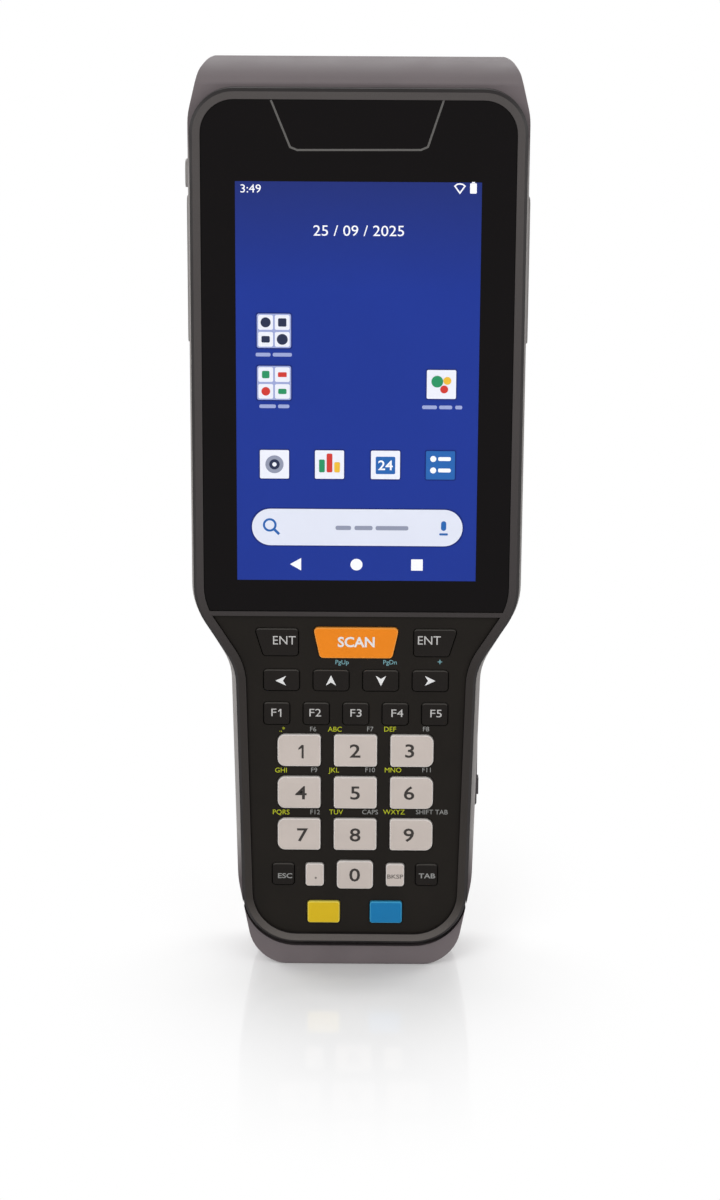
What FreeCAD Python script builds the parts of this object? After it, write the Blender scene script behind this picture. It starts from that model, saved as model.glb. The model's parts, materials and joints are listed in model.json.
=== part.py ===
import FreeCAD, Part
import math
import os
import re

# Portable barcode data terminal, in millimetres.
# X runs to the right as seen from the front, Y runs to the back, Z runs up
# along the terminal, which stands on its flat bottom end at Z = 0.
# The front frame's face is the plane Y = front_y.

os.makedirs("parts", exist_ok=True)
# Edges this close to a plane lie on it. A moved outline keeps at least the smallest radius.
SAME_FACE = 0.01
SMALLEST_RADIUS = 0.05

doc = FreeCAD.newDocument("data_terminal")
sheet = doc.addObject("Spreadsheet::Sheet", "spread")

SIZES = [
    ("front_y", -17.0),
    # Front frame: outline seen from the front, and its ring
    ("frame_half_width", 38.05),
    ("frame_top_z", 210.3),
    ("frame_top_corner", 10.0),
    ("shoulder_z", 90.5),
    ("shoulder_radius", 16.5),
    ("waist_half_width", 28.4),
    ("waist_z", 75.5),
    ("waist_radius", 13.4),
    ("frame_bottom_half_width", 26.7),
    ("frame_bottom_z", 6.3),
    ("frame_bottom_corner", 13.0),
    ("frame_depth", 4.5),
    ("ring_width", 2.4),
    ("ring_bevel", 0.7),
    ("ledge_width", 1.8),
    ("bridge_top_z", 89.4),
    ("bridge_height", 1.1),
    # Touch panel and display
    ("glass_recess", 0.4),
    ("glass_thickness", 1.5),
    ("glass_gap", 0.12),
    ("gasket_thickness", 0.3),
    ("display_side_margin", 8.55),
    ("display_top_margin", 19.3),
    ("display_bottom_margin", 3.6),
    ("display_width", "=2 * (frame_half_width - display_side_margin)"),
    ("display_bottom_z", "=bridge_top_z + display_bottom_margin"),
    ("display_height", "=frame_top_z - display_top_margin - display_bottom_z"),
    ("display_center_z", "=display_bottom_z + display_height / 2"),
    ("display_thickness", 2.2),
    ("display_corner", 1.2),
    # Keypad panel, keys and what is under them
    ("panel_recess", 0.8),
    ("panel_thickness", 1.4),
    ("panel_gap", 0.1),
    ("key_gap", 0.2),
    ("key_travel", 0.6),
    ("flange_width", 0.45),
    ("flange_thickness", 0.5),
    ("flange_gap", 0.05),
    ("key_edge_radius", 0.3),
    ("membrane_gap", 0.1),
    ("membrane_thickness", 0.5),
    ("dome_height", 0.3),
    ("dome_radius", 1.9),
    ("key_board_thickness", 1.0),
    ("pale_key_proud", 0.75),
    ("dark_key_proud", 0.4),
    ("number_key_width", 10.2),
    ("number_key_height", 7.85),
    ("number_key_corner", 0.7),
    ("number_key_outer_corner", 1.8),
    ("number_pitch_x", 13.4),
    ("number_pitch_z", 10.53),
    ("number_row_drop", 33.1),
    ("zero_key_width", 8.65),
    ("zero_key_height", 7.0),
    ("zero_key_corner", 1.0),
    ("zero_row_drop", 64.45),
    ("small_key_width", 4.35),
    ("small_key_height", 5.65),
    ("small_key_corner", 0.7),
    ("small_key_x", 9.65),
    ("escape_key_width", 5.2),
    ("escape_key_height", 5.4),
    ("escape_key_corner", 0.8),
    ("escape_key_x", 17.2),
    ("color_key_width", 7.7),
    ("color_key_height", 5.4),
    ("color_key_corner", 0.6),
    ("color_key_x", 7.5),
    ("color_row_drop", 74.0),
    ("scan_key_width", 20.2),
    ("scan_key_foot_width", 17.0),
    ("scan_key_height", 7.4),
    ("scan_key_corner", 1.0),
    ("scan_row_drop", 6.5),
    ("enter_key_width", 10.2),
    ("enter_key_slant", 2.0),
    ("enter_key_height", 6.6),
    ("enter_key_corner", 0.8),
    ("enter_key_x", 18.7),
    ("arrow_key_width", 8.4),
    ("arrow_key_height", 5.1),
    ("arrow_key_corner", 0.9),
    ("arrow_pitch_x", 11.7),
    ("arrow_row_drop", 15.8),
    ("function_key_width", 6.1),
    ("function_key_height", 5.4),
    ("function_key_corner", 0.8),
    ("function_pitch_x", 9.35),
    ("function_row_drop", 24.05),
    # Rear housing: outline, side profile and walls
    ("side_margin", 0.6),
    ("waist_margin", 1.15),
    ("head_over", 6.1),
    ("top_z", "=frame_top_z + head_over"),
    ("head_corner", 5.0),
    ("head_slope_width", 3.0),
    ("head_slope_height", 12.5),
    ("head_slope_radius", 16.0),
    ("crown_rise", 0.8),
    ("crown_half_width", 14.0),
    ("crown_radius", 90.0),
    ("grip_end_half_width", 28.15),
    ("chin_start_z", 22.0),
    ("chin_start_radius", 30.0),
    ("chin_half_width", 23.9),
    ("chin_corner", 10.3),
    ("chin_setback", 2.2),
    ("chin_gap", 1.5),
    ("side_gap", 0.12),
    ("rim_top_z", 70.0),
    ("grip_back_y", 10.0),
    ("head_back_y", 17.0),
    ("head_start_z", 102.0),
    ("head_full_z", 122.0),
    ("nose_drop", 10.8),
    ("nose_back_z", "=top_z - nose_drop"),
    ("ridge_y", 1.0),
    ("brow_drop", 5.3),
    ("brow_z", "=top_z - brow_drop"),
    ("forehead_y", -7.5),
    ("forehead_drop", 1.5),
    ("forehead_radius", 17.0),
    ("lip_radius", 0.6),
    ("back_edge_radius", 5.0),
    ("end_edge_radius", 2.5),
    ("wall", 2.2),
    ("cutter_margin", 1.0),
    ("cavity_corner", 16.0),
    ("cavity_bend", 1.0),
    # Battery well, battery, door and latch
    ("well_half_width", 22.4),
    ("well_bottom_z", 17.0),
    ("well_top_z", 94.0),
    ("well_floor_y", -4.5),
    ("well_floor_thickness", 1.5),
    ("well_shoulder", 6.0),
    ("battery_gap", 0.6),
    ("battery_lift", 1.9),
    ("battery_corner", 2.0),
    ("battery_contact_count", 4),
    ("battery_contact_pitch", 3.0),
    ("battery_contact_width", 1.6),
    ("battery_contact_height", 4.0),
    ("battery_contact_z", 84.0),
    ("door_half_width", 24.2),
    ("door_thickness", 2.0),
    ("door_top_z", 97.0),
    ("door_gap", 0.3),
    ("door_seat_gap", 0.1),
    ("door_corner", 2.5),
    ("door_plate_lift", 3.7),
    ("door_lug_height", 2.6),
    ("door_swing_gap", 0.6),
    ("hinge_z", 13.2),
    ("barrel_radius", 2.2),
    ("barrel_half_length", 17.0),
    ("pin_radius", 0.9),
    ("pin_clearance", 0.06),
    ("pin_half_length", 21.0),
    ("latch_half_width", 4.5),
    ("latch_length", 7.0),
    ("latch_thickness", 0.9),
    ("latch_travel", 2.5),
    ("latch_gap", 0.2),
    ("latch_inset", 3.2),
    ("latch_rib_height", 0.5),
    ("latch_rib_width", 0.7),
    ("latch_rib_count", 3),
    ("latch_rib_pitch", 1.8),
    ("tongue_half_width", 3.0),
    ("tongue_thickness", 0.8),
    ("tongue_set_in", 0.9),
    ("tongue_end_gap", 0.4),
    # Chassis, boards and inner modules
    ("chassis_back_y", -10.3),
    ("chassis_thickness", 1.2),
    ("chassis_gap", 0.3),
    ("seal_inset", 2.6),
    ("seal_width", 1.2),
    ("main_board_front_y", -6.5),
    ("board_thickness", 1.2),
    ("board_side_margin", 11.55),
    ("board_rise", 16.6),
    ("board_drop", 20.3),
    ("main_board_half_width", "=frame_half_width - board_side_margin"),
    ("main_board_bottom_z", "=bridge_top_z + board_rise"),
    ("main_board_top_z", "=top_z - board_drop"),
    ("window_width", 25.0),
    ("window_length", 11.0),
    ("window_thickness", 1.5),
    ("window_seat", 1.0),
    ("window_recess", 0.3),
    ("window_gap", 0.15),
    ("engine_width", 21.0),
    ("engine_length", 9.0),
    ("engine_depth", 13.0),
    ("engine_gap", 0.6),
    ("camera_drop", 36.3),
    ("camera_z", "=top_z - camera_drop"),
    ("camera_window_radius", 5.0),
    ("camera_window_thickness", 1.2),
    ("camera_window_seat", 1.0),
    ("camera_body", 8.5),
    ("camera_depth", 6.0),
    ("flash_x", 11.5),
    ("flash_radius", 2.0),
    ("lens_gap", 0.1),
    ("lens_recess", 0.2),
    ("module_gap", 0.2),
    ("speaker_rise", 18.0),
    ("speaker_z", "=head_full_z + speaker_rise"),
    ("speaker_width", 18.0),
    ("speaker_height", 11.0),
    ("speaker_depth", 4.0),
    ("speaker_slot_width", 12.0),
    ("speaker_slot_height", 1.2),
    ("speaker_slot_pitch", 2.6),
    ("speaker_slots", 3),
    # Side keys
    ("side_key_center_y", -5.5),
    ("side_key_height_y", 6.5),
    ("side_key_corner", 1.9),
    ("power_key_drop", 23.1),
    ("power_key_length", 6.2),
    ("power_key_top_z", "=top_z - power_key_drop"),
    ("power_key_bottom_z", "=power_key_top_z - power_key_length"),
    ("trigger_gap", 2.0),
    ("trigger_rise", 23.5),
    ("trigger_top_z", "=power_key_bottom_z - trigger_gap"),
    ("trigger_bottom_z", "=head_screw_low_z + trigger_rise"),
    ("trigger_proud", 0.55),
    ("power_key_proud", 0.85),
    ("side_key_travel", 0.5),
    ("side_key_gap", 0.2),
    ("side_flange", 0.8),
    ("side_flange_thickness", 0.8),
    ("switch_length", 4.0),
    ("switch_depth", 3.0),
    ("switch_gap", 0.1),
    # Port and its cover on the right side of the grip
    ("port_center_y", -8.15),
    ("port_center_z", 49.5),
    ("port_long", 8.9),
    ("port_short", 3.0),
    ("port_depth", 7.0),
    ("port_wall", 0.5),
    ("port_mouth_gap", 0.2),
    ("cover_half_width", 2.8),
    ("cover_top_z", 57.5),
    ("cover_hinge_z", 40.5),
    ("cover_face_x", 29.15),
    ("cover_thickness", 1.4),
    ("cover_gap", 0.3),
    ("cover_swing_gap", 0.5),
    ("cover_tab_height", 0.45),
    ("cover_tab_length", 4.0),
    ("cover_tab_z", 44.1),
    # Charging contacts in the bottom end
    ("contact_count", 6),
    ("contact_pitch", 2.6),
    ("contact_width", 1.5),
    ("contact_depth_y", 4.0),
    ("contact_y", -6.0),
    ("contact_recess", 0.3),
    # Screws and threaded inserts
    ("screw_radius", 1.0),
    ("screw_head_radius", 1.9),
    ("screw_head_height", 1.4),
    ("screw_clearance", 0.05),
    ("screw_bore_clearance", 0.15),
    ("screw_thread_depth", 1.0),
    ("screw_boss_radius", 3.3),
    ("head_screw_margin", 7.05),
    ("head_screw_rise", 38.6),
    ("head_screw_drop", 18.3),
    ("head_screw_x", "=frame_half_width - head_screw_margin"),
    ("head_screw_low_z", "=bridge_top_z + head_screw_rise"),
    ("head_screw_high_z", "=top_z - head_screw_drop"),
    ("head_screw_seat_y", 2.0),
    ("grip_screw_x", 17.0),
    ("grip_screw_low_z", 27.0),
    ("grip_screw_high_z", 74.0),
    ("screw_socket_radius", 0.8),
    ("screw_socket_depth", 0.7),
    ("insert_half_spacing", 12.0),
    ("insert_z", "=(speaker_z + camera_z) / 2"),
    ("insert_radius", 2.2),
    ("insert_bore_radius", 1.25),
    ("insert_length", 5.0),
    ("insert_boss_radius", 3.6),
]


def fill_sheet():
    """Write each size into its own named cell of the spreadsheet."""
    for row, (name, _) in enumerate(SIZES, start=1):
        sheet.set("A%d" % row, name.replace("_", " "))
        sheet.setAlias("B%d" % row, name)
    for row, (_, value) in enumerate(SIZES, start=1):
        sheet.set("B%d" % row, str(value))
    doc.recompute()


def size(name):
    """The value of one named cell."""
    return float(getattr(sheet, name))


fill_sheet()
pieces = []


def cell(expression):
    """Turn a formula in size names into one that reads the spreadsheet."""
    return re.sub(r"[a-z][a-z_]+", lambda word: "spread." + word.group(0), expression)


def value(expression):
    """The number that a formula in size names gives now."""
    names = {name: size(name) for name in re.findall(r"[a-z][a-z_]+", expression)}
    total = expression
    for name in sorted(names, key=len, reverse=True):
        total = total.replace(name, repr(names[name]))
    return float(FreeCAD.Units.Quantity(total).Value)


# Outlines: corner points with a radius each, joined by lines and arcs


def closed(half):
    """The whole outline from its right half, listed from top to bottom."""
    return half + [(-x, z, radius) for x, z, radius in reversed(half)]


def box_outline(x0, z0, x1, z1, radius):
    """A rectangle with round corners, listed clockwise from its top right."""
    return [(x1, z1, radius), (x1, z0, radius), (x0, z0, radius), (x0, z1, radius)]


def centered(x, z, width, height, radius):
    """A rectangle with round corners around a center point."""
    return box_outline(x - width / 2, z - height / 2, x + width / 2, z + height / 2, radius)


def inset(outline, gap):
    """The outline moved inwards by a gap, or outwards by a negative one."""
    count = len(outline)
    moved = []
    for index, (x, z, radius) in enumerate(outline):
        x0, z0, _ = outline[index - 1]
        x1, z1, _ = outline[(index + 1) % count]
        before = FreeCAD.Vector(x - x0, z - z0, 0).normalize()
        after = FreeCAD.Vector(x1 - x, z1 - z, 0).normalize()
        turn = before.x * after.y - before.y * after.x
        shift = gap / (1 + before.dot(after))
        side_x = (before.y + after.y) * shift
        side_z = -(before.x + after.x) * shift
        new_radius = radius - gap if turn < 0 else radius + gap
        if radius > 0:
            new_radius = max(new_radius, SMALLEST_RADIUS)
        moved.append((x + side_x, z + side_z, new_radius))
    return moved


def edges(outline):
    """Lines and tangent arcs through the outline's points."""
    count = len(outline)
    corners = []
    for index, (x, z, radius) in enumerate(outline):
        point = FreeCAD.Vector(x, z, 0)
        x0, z0, _ = outline[index - 1]
        x1, z1, _ = outline[(index + 1) % count]
        back = (FreeCAD.Vector(x0, z0, 0) - point).normalize()
        ahead = (FreeCAD.Vector(x1, z1, 0) - point).normalize()
        half_angle = back.getAngle(ahead) / 2
        if radius <= 0:
            corners.append((point, None, point))
            continue
        length = radius / math.tan(half_angle)
        middle = (back + ahead).normalize() * (radius / math.sin(half_angle) - radius)
        corners.append((point + back * length, point + middle, point + ahead * length))
    found = []
    for index, (start, middle, end) in enumerate(corners):
        if middle is not None:
            found.append(Part.Arc(start, middle, end))
        follow = corners[(index + 1) % count][0]
        if end.distanceToPoint(follow) > 1e-6:
            found.append(Part.LineSegment(end, follow))
    return found


# Sub-parts: bodies made of pads and pockets


def new_body(label):
    """An empty body that becomes one sub-part."""
    body = doc.addObject("PartDesign::Body", label)
    body.Label = label
    return body


def add_sketch(body, role, outlines, offset):
    """A sketch on one of the body's own origin planes, moved by a formula."""
    sketch = body.newObject("Sketcher::SketchObject", body.Name + "_sketch")
    plane = [item for item in body.Origin.OriginFeatures if item.Role == role][0]
    sketch.AttachmentSupport = [(plane, "")]
    sketch.MapMode = "FlatFace"
    sketch.setExpression("AttachmentOffset.Base.z", cell(offset))
    for outline in outlines:
        sketch.addGeometry(outline, False)
    return sketch


def pad(body, outlines, front, depth):
    """Material from the plane Y = front, towards the back."""
    sketch = add_sketch(body, "XZ_Plane", outlines, "-(%s)" % front)
    feature = body.newObject("PartDesign::Pad", body.Name + "_pad")
    feature.Profile = sketch
    feature.Reversed = True
    feature.setExpression("Length", cell(depth))
    return feature


def pocket(body, outlines, front, depth):
    """A hole from the plane Y = front, towards the back."""
    sketch = add_sketch(body, "XZ_Plane", outlines, "-(%s)" % front)
    feature = body.newObject("PartDesign::Pocket", body.Name + "_pocket")
    feature.Profile = sketch
    feature.setExpression("Length", cell(depth))
    return feature


def finish(piece):
    """Keep an object as a sub-part that is written out."""
    piece.Label = piece.Name
    pieces.append(piece)
    return piece


def box(name, x0, y0, z0, length, width, height):
    """A box whose corner and sizes are formulas."""
    item = doc.addObject("Part::Box", name)
    for axis, formula in zip("xyz", (x0, y0, z0)):
        item.setExpression("Placement.Base." + axis, cell(formula))
    for side, formula in zip(("Length", "Width", "Height"), (length, width, height)):
        item.setExpression(side, cell(formula))
    return item


def cylinder(name, axis, center, radius, height):
    """A cylinder along X or Y from a center point given as formulas."""
    item = doc.addObject("Part::Cylinder", name)
    turn = {
        "x": FreeCAD.Rotation(FreeCAD.Vector(0, 1, 0), 90),
        "y": FreeCAD.Rotation(FreeCAD.Vector(1, 0, 0), -90),
    }[axis]
    item.Placement = FreeCAD.Placement(FreeCAD.Vector(), turn)
    for letter, formula in zip("xyz", center):
        item.setExpression("Placement.Base." + letter, cell(formula))
    item.setExpression("Radius", cell(radius))
    item.setExpression("Height", cell(height))
    return item


def fuse(name, items):
    """Several objects joined into one."""
    item = doc.addObject("Part::MultiFuse", name)
    item.Shapes = items
    return item


def cut(name, base, tool):
    """One object with another taken out of it."""
    item = doc.addObject("Part::Cut", name)
    item.Base = base
    item.Tool = tool
    return item


def common(name, items):
    """What several objects share."""
    item = doc.addObject("Part::MultiCommon", name)
    item.Shapes = items
    return item


def group(name, items):
    """Separate solids kept together in one sub-part."""
    item = doc.addObject("Part::Compound", name)
    item.Links = items
    return item


# Outlines of the terminal


def frame_outline():
    """The front frame's outer outline."""
    return closed([
        (size("frame_half_width"), size("frame_top_z"), size("frame_top_corner")),
        (size("frame_half_width"), size("shoulder_z"), size("shoulder_radius")),
        (size("waist_half_width"), size("waist_z"), size("waist_radius")),
        (size("frame_bottom_half_width"), size("frame_bottom_z"), size("frame_bottom_corner")),
    ])


def housing_side():
    """Half the width of the housing's head."""
    return size("frame_half_width") + size("side_margin")


def crown():
    """The start of an outline whose top edge rises towards its middle."""
    return [(size("crown_half_width"), size("top_z"), size("crown_radius"))]


def head_corner(drop):
    """The head's upper corner, that far under its highest line, and the slope down from it."""
    side = housing_side()
    top = size("top_z")
    return [
        (side - size("head_slope_width"), top - drop, size("head_corner")),
        (side, top - size("head_slope_height"), size("head_slope_radius")),
    ]


def housing_outline(upper):
    """The rear housing's outer outline under its upper points: it stands out past the frame."""
    side = housing_side()
    waist = size("waist_half_width") + size("waist_margin")
    return closed(upper + [
        (side, size("shoulder_z"), size("shoulder_radius")),
        (waist, size("waist_z"), size("waist_radius")),
        (size("grip_end_half_width"), size("chin_start_z"), size("chin_start_radius")),
        (size("chin_half_width"), 0.0, size("chin_corner")),
    ])


def between(outline, low, high):
    """The lines and arcs of an outline, cut off under and over two heights."""
    face = Part.Face(Part.Wire([item.toShape() for item in edges(outline)]))
    wide = 4 * size("frame_half_width")
    band = Part.makePlane(wide, high - low, FreeCAD.Vector(-wide / 2, low, 0))
    found = []
    for edge in face.common(band).Faces[0].OuterWire.Edges:
        first, last = edge.ParameterRange
        start, middle, end = (edge.valueAt(at) for at in (first, (first + last) / 2, last))
        straight = edge.Curve.TypeId == "Part::GeomLine"
        found.append(Part.LineSegment(start, end) if straight else Part.Arc(start, middle, end))
    return found


bridge_top = size("bridge_top_z")
bridge_bottom = bridge_top - size("bridge_height")


def glass_opening(gap):
    """The upper opening of the frame, made smaller by a gap all round."""
    outline = inset(frame_outline(), size("ring_width") + gap)
    return between(outline, bridge_top + gap, size("frame_top_z"))


def keypad_opening(gap):
    """The lower opening of the frame, made smaller by a gap all round."""
    outline = inset(frame_outline(), size("ring_width") + gap)
    return between(outline, 0.0, bridge_bottom - gap)


# Keys: name, center X, drop of the row, outline and how far they stand out


def key_table():
    """Every key of the keypad as (name, outline, stand-out size name)."""
    keys = []

    def place(name, x, drop, kind, corner, proud):
        z = bridge_bottom - drop
        outline = centered(x, z, size(kind + "_width"), size(kind + "_height"), size(corner))
        keys.append((name, outline, proud))

    pitch = size("number_pitch_x")
    for digit in range(1, 10):
        row, column = divmod(digit - 1, 3)
        drop = size("number_row_drop") + row * size("number_pitch_z")
        name = "key_%d" % digit
        place(name, (column - 1) * pitch, drop, "number_key", "number_key_corner",
              "pale_key_proud")
        keys[-1] = (name, rounder_side(keys[-1][1], column - 1), "pale_key_proud")
    place("key_0", 0, size("zero_row_drop"), "zero_key", "zero_key_corner", "pale_key_proud")
    for name, side in (("key_point", -1), ("key_backspace", 1)):
        place(name, side * size("small_key_x"), size("zero_row_drop"), "small_key",
              "small_key_corner", "pale_key_proud")
    for name, side in (("key_escape", -1), ("key_tab", 1)):
        place(name, side * size("escape_key_x"), size("zero_row_drop"), "escape_key",
              "escape_key_corner", "dark_key_proud")
    for name, side in (("key_yellow", -1), ("key_blue", 1)):
        place(name, side * size("color_key_x"), size("color_row_drop"), "color_key",
              "color_key_corner", "pale_key_proud")
    for index, name in enumerate(("left", "up", "down", "right")):
        place("key_arrow_" + name, (index - 1.5) * size("arrow_pitch_x"),
              size("arrow_row_drop"), "arrow_key", "arrow_key_corner", "dark_key_proud")
    for index in range(5):
        place("key_f%d" % (index + 1), (index - 2) * size("function_pitch_x"),
              size("function_row_drop"), "function_key", "function_key_corner",
              "dark_key_proud")
    keys.append(("key_scan", scan_outline(), "pale_key_proud"))
    for name, side in (("key_enter_left", -1), ("key_enter_right", 1)):
        keys.append((name, enter_outline(side), "dark_key_proud"))
    return keys


def rounder_side(outline, side):
    """A number key's outline with rounder corners towards the outer side of the keypad."""
    middle = sum(x for x, _, _ in outline) / len(outline)
    outer = size("number_key_outer_corner")
    return [(x, z, outer if side * (x - middle) > 0 else radius) for x, z, radius in outline]


def scan_outline():
    """The wide scan key, narrower at its foot."""
    z = bridge_bottom - size("scan_row_drop")
    high = size("scan_key_height") / 2
    corner = size("scan_key_corner")
    return closed([
        (size("scan_key_width") / 2, z + high, corner),
        (size("scan_key_foot_width") / 2, z - high, corner),
    ])


def enter_outline(side):
    """An enter key whose outer edge follows the shoulder of the frame."""
    z = bridge_bottom - size("scan_row_drop")
    high = size("enter_key_height") / 2
    inner = size("enter_key_x") - size("enter_key_width") / 2
    outer = size("enter_key_x") + size("enter_key_width") / 2
    corner = size("enter_key_corner")
    points = [
        (outer, z + high, corner),
        (outer - size("enter_key_slant"), z - high, corner),
        (inner, z - high, corner),
        (inner, z + high, corner),
    ]
    if side > 0:
        return points
    return [(-x, height, radius) for x, height, radius in reversed(points)]


KEYS = key_table()


# Front: frame, touch panel, display and keypad


def make_front_frame():
    """The ring round the front, with a bridge between glass and keypad."""
    body = new_body("front_frame")
    base = pad(body, [edges(frame_outline())], "front_y", "frame_depth")
    doc.recompute()
    rim = [
        "Edge%d" % (number + 1)
        for number, edge in enumerate(base.Shape.Edges)
        if edge.BoundBox.YMax < size("front_y") + SAME_FACE
    ]
    bevel = body.newObject("PartDesign::Chamfer", "front_frame_bevel")
    bevel.Base = (base, rim)
    bevel.setExpression("Size", cell("ring_bevel"))
    for window, seat in (
        (glass_opening, "glass_recess+glass_thickness+gasket_thickness"),
        (keypad_opening, "panel_recess+panel_thickness"),
    ):
        pocket(body, [window(0.0)], "front_y", seat)
        pocket(body, [window(size("ledge_width"))], "front_y", "frame_depth")
    return finish(body)


def make_touch_panel():
    """The black glass over the display."""
    body = new_body("touch_panel")
    pad(body, [glass_opening(size("glass_gap"))], "front_y+glass_recess", "glass_thickness")
    return finish(body)


GLASS_BACK = "front_y+glass_recess+glass_thickness"


def make_display_gasket():
    """The seal between the glass and the frame's ledge."""
    body = new_body("display_gasket")
    pad(body, [glass_opening(size("glass_gap"))], GLASS_BACK, "gasket_thickness")
    pocket(body, [glass_opening(size("ledge_width"))], GLASS_BACK, "gasket_thickness")
    return finish(body)


def make_display_module():
    """The display, bonded to the back of the glass."""
    body = new_body("display_module")
    outline = centered(0, size("display_center_z"), size("display_width"),
                       size("display_height"), size("display_corner"))
    pad(body, [edges(outline)], GLASS_BACK, "display_thickness")
    return finish(body)


def make_keypad_panel():
    """The panel with one opening for each key."""
    body = new_body("keypad_panel")
    pad(body, [keypad_opening(size("panel_gap"))], "front_y+panel_recess", "panel_thickness")
    holes = [edges(inset(key, -size("key_gap"))) for _, key, _ in KEYS]
    pocket(body, holes, "front_y+panel_recess", "panel_thickness")
    return finish(body)


PANEL_BACK = "front_y+panel_recess+panel_thickness"
FLANGE_BACK = PANEL_BACK + "+flange_gap+flange_thickness"
MEMBRANE_FRONT = FLANGE_BACK + "+key_travel+membrane_gap"
MEMBRANE_BACK = MEMBRANE_FRONT + "+membrane_thickness"


def make_key(name, outline, proud):
    """One key: a cap through the panel and a flange that holds it in."""
    body = new_body(name)
    front = "front_y+panel_recess-" + proud
    cap = pad(body, [edges(outline)], front,
              proud + "+panel_thickness+flange_gap+flange_thickness")
    doc.recompute()
    rim = [
        "Edge%d" % (number + 1)
        for number, edge in enumerate(cap.Shape.Edges)
        if edge.BoundBox.YMax < value(front) + SAME_FACE
    ]
    fillet = body.newObject("PartDesign::Fillet", name + "_edge")
    fillet.Base = (cap, rim)
    fillet.setExpression("Radius", cell("key_edge_radius"))
    pad(body, [edges(inset(outline, -size("flange_width")))], PANEL_BACK + "+flange_gap",
        "flange_thickness")
    return finish(body)


def make_keypad_stack():
    """The rubber mat, the snap domes and the board under the keys."""
    mat = new_body("keypad_membrane")
    inside = size("ledge_width") + size("chassis_gap")
    pad(mat, [keypad_opening(inside)], MEMBRANE_FRONT, "membrane_thickness")
    finish(mat)
    board = new_body("keypad_board")
    pad(board, [keypad_opening(inside)], MEMBRANE_BACK + "+dome_height",
        "key_board_thickness")
    finish(board)
    domes = []
    for name, outline, _ in KEYS:
        x = sum(point[0] for point in outline) / len(outline)
        z = sum(point[1] for point in outline) / len(outline)
        domes.append(cylinder("dome_" + name, "y", ("%.4f" % x, MEMBRANE_BACK, "%.4f" % z),
                              "dome_radius", "dome_height"))
    finish(group("key_domes", domes))


# Rear housing


def side_profile():
    """The housing's side view as (Y, Z, radius)."""
    rim = size("front_y") + size("frame_depth")
    chin = size("front_y") + size("chin_setback")
    end = size("end_edge_radius")
    back = size("head_back_y")
    bend = size("back_edge_radius")
    lip = size("lip_radius")
    return [
        (rim, size("brow_z"), lip),
        (size("forehead_y"), size("top_z") - size("forehead_drop"), size("forehead_radius")),
        (size("ridge_y"), size("top_z"), end),
        (back, size("nose_back_z"), end),
        (back, size("head_full_z"), bend),
        (size("grip_back_y"), size("head_start_z"), bend),
        (size("grip_back_y"), 0.0, end),
        (chin, 0.0, lip),
        (chin, size("chin_start_z"), 0),
        (rim, size("rim_top_z"), 0),
    ]


def cavity_profile():
    """The side view of the space for the electronics, as (Y, Z, radius)."""
    wall = size("wall")
    rim = size("front_y") + size("frame_depth")
    back = size("head_back_y") - wall
    grip = size("well_floor_y") - size("well_floor_thickness")
    bend = size("cavity_bend")
    return [
        (rim, size("brow_z") - wall, 0),
        (size("ridge_y"), size("top_z") - wall, bend / 2),
        (back, size("nose_back_z") - wall, bend),
        (back, size("head_full_z") + wall, bend),
        (grip, size("well_top_z") + size("well_shoulder"), bend),
        (grip, wall, bend),
        (rim, wall, 0),
    ]


def profile_slab(label, outline):
    """A slab across the whole width with a side view given in Y and Z."""
    body = new_body(label)
    feature = body.newObject("PartDesign::Pad", label + "_pad")
    feature.Profile = add_sketch(body, "YZ_Plane", [edges(outline)], "0")
    feature.Midplane = True
    feature.setExpression("Length", cell("4*frame_half_width"))
    return body


def rounded_block(label, back):
    """The housing's front view made solid up to a back face with round edges."""
    body = new_body(label)
    block = pad(body, [edges(housing_outline(head_corner(0)))], "front_y", back + "-front_y")
    doc.recompute()
    rim = [
        "Edge%d" % (number + 1)
        for number, edge in enumerate(block.Shape.Edges)
        if edge.BoundBox.YMin > value(back) - SAME_FACE
    ]
    fillet = body.newObject("PartDesign::Fillet", label + "_edge")
    fillet.Base = (block, rim)
    fillet.setExpression("Radius", cell("back_edge_radius"))
    return body


def plan_slab(label, outline, front, depth):
    """A slab with a front view given in X and Z."""
    body = new_body(label)
    pad(body, [outline], front, depth)
    return body


RIM = "front_y+frame_depth"
DOOR_INNER = "grip_back_y-door_thickness"
HINGE_Y = "grip_back_y-barrel_radius"


def housing_solid():
    """The housing's outside shape, and the bosses inside it."""
    side = profile_slab("housing_side_view", side_profile())
    grip = common("housing_grip", [rounded_block("grip_block", "grip_back_y"), side])
    over = box("housing_head_limit", "-2*frame_half_width", "-2*head_back_y", "head_start_z",
               "4*frame_half_width", "4*head_back_y", "top_z")
    crowned = housing_outline(crown() + head_corner(size("crown_rise")))
    plan = plan_slab("crowned_head", edges(crowned), "front_y", "head_back_y-front_y")
    head = common("housing_head",
                  [rounded_block("head_block", "head_back_y"), side, over, plan])
    return fuse("housing_outside", [grip, head])


def housing_bosses():
    """Posts for the screws and the threaded inserts."""
    posts = []
    for index, (x, z) in enumerate(head_screw_places()):
        posts.append(cylinder("head_post_%d" % index, "y", (x, "chassis_back_y", z),
                              "screw_boss_radius", "head_back_y-wall/2-chassis_back_y"))
    for index, (x, z) in enumerate(grip_screw_places()):
        posts.append(cylinder("grip_post_%d" % index, "y", (x, "chassis_back_y", z),
                              "screw_boss_radius", "well_floor_y-chassis_back_y"))
    for index, x in enumerate(("-insert_half_spacing", "insert_half_spacing")):
        posts.append(cylinder("insert_post_%d" % index, "y",
                              (x, "head_back_y-insert_length-wall", "insert_z"),
                              "insert_boss_radius", "insert_length+wall/2"))
    return posts


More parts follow.
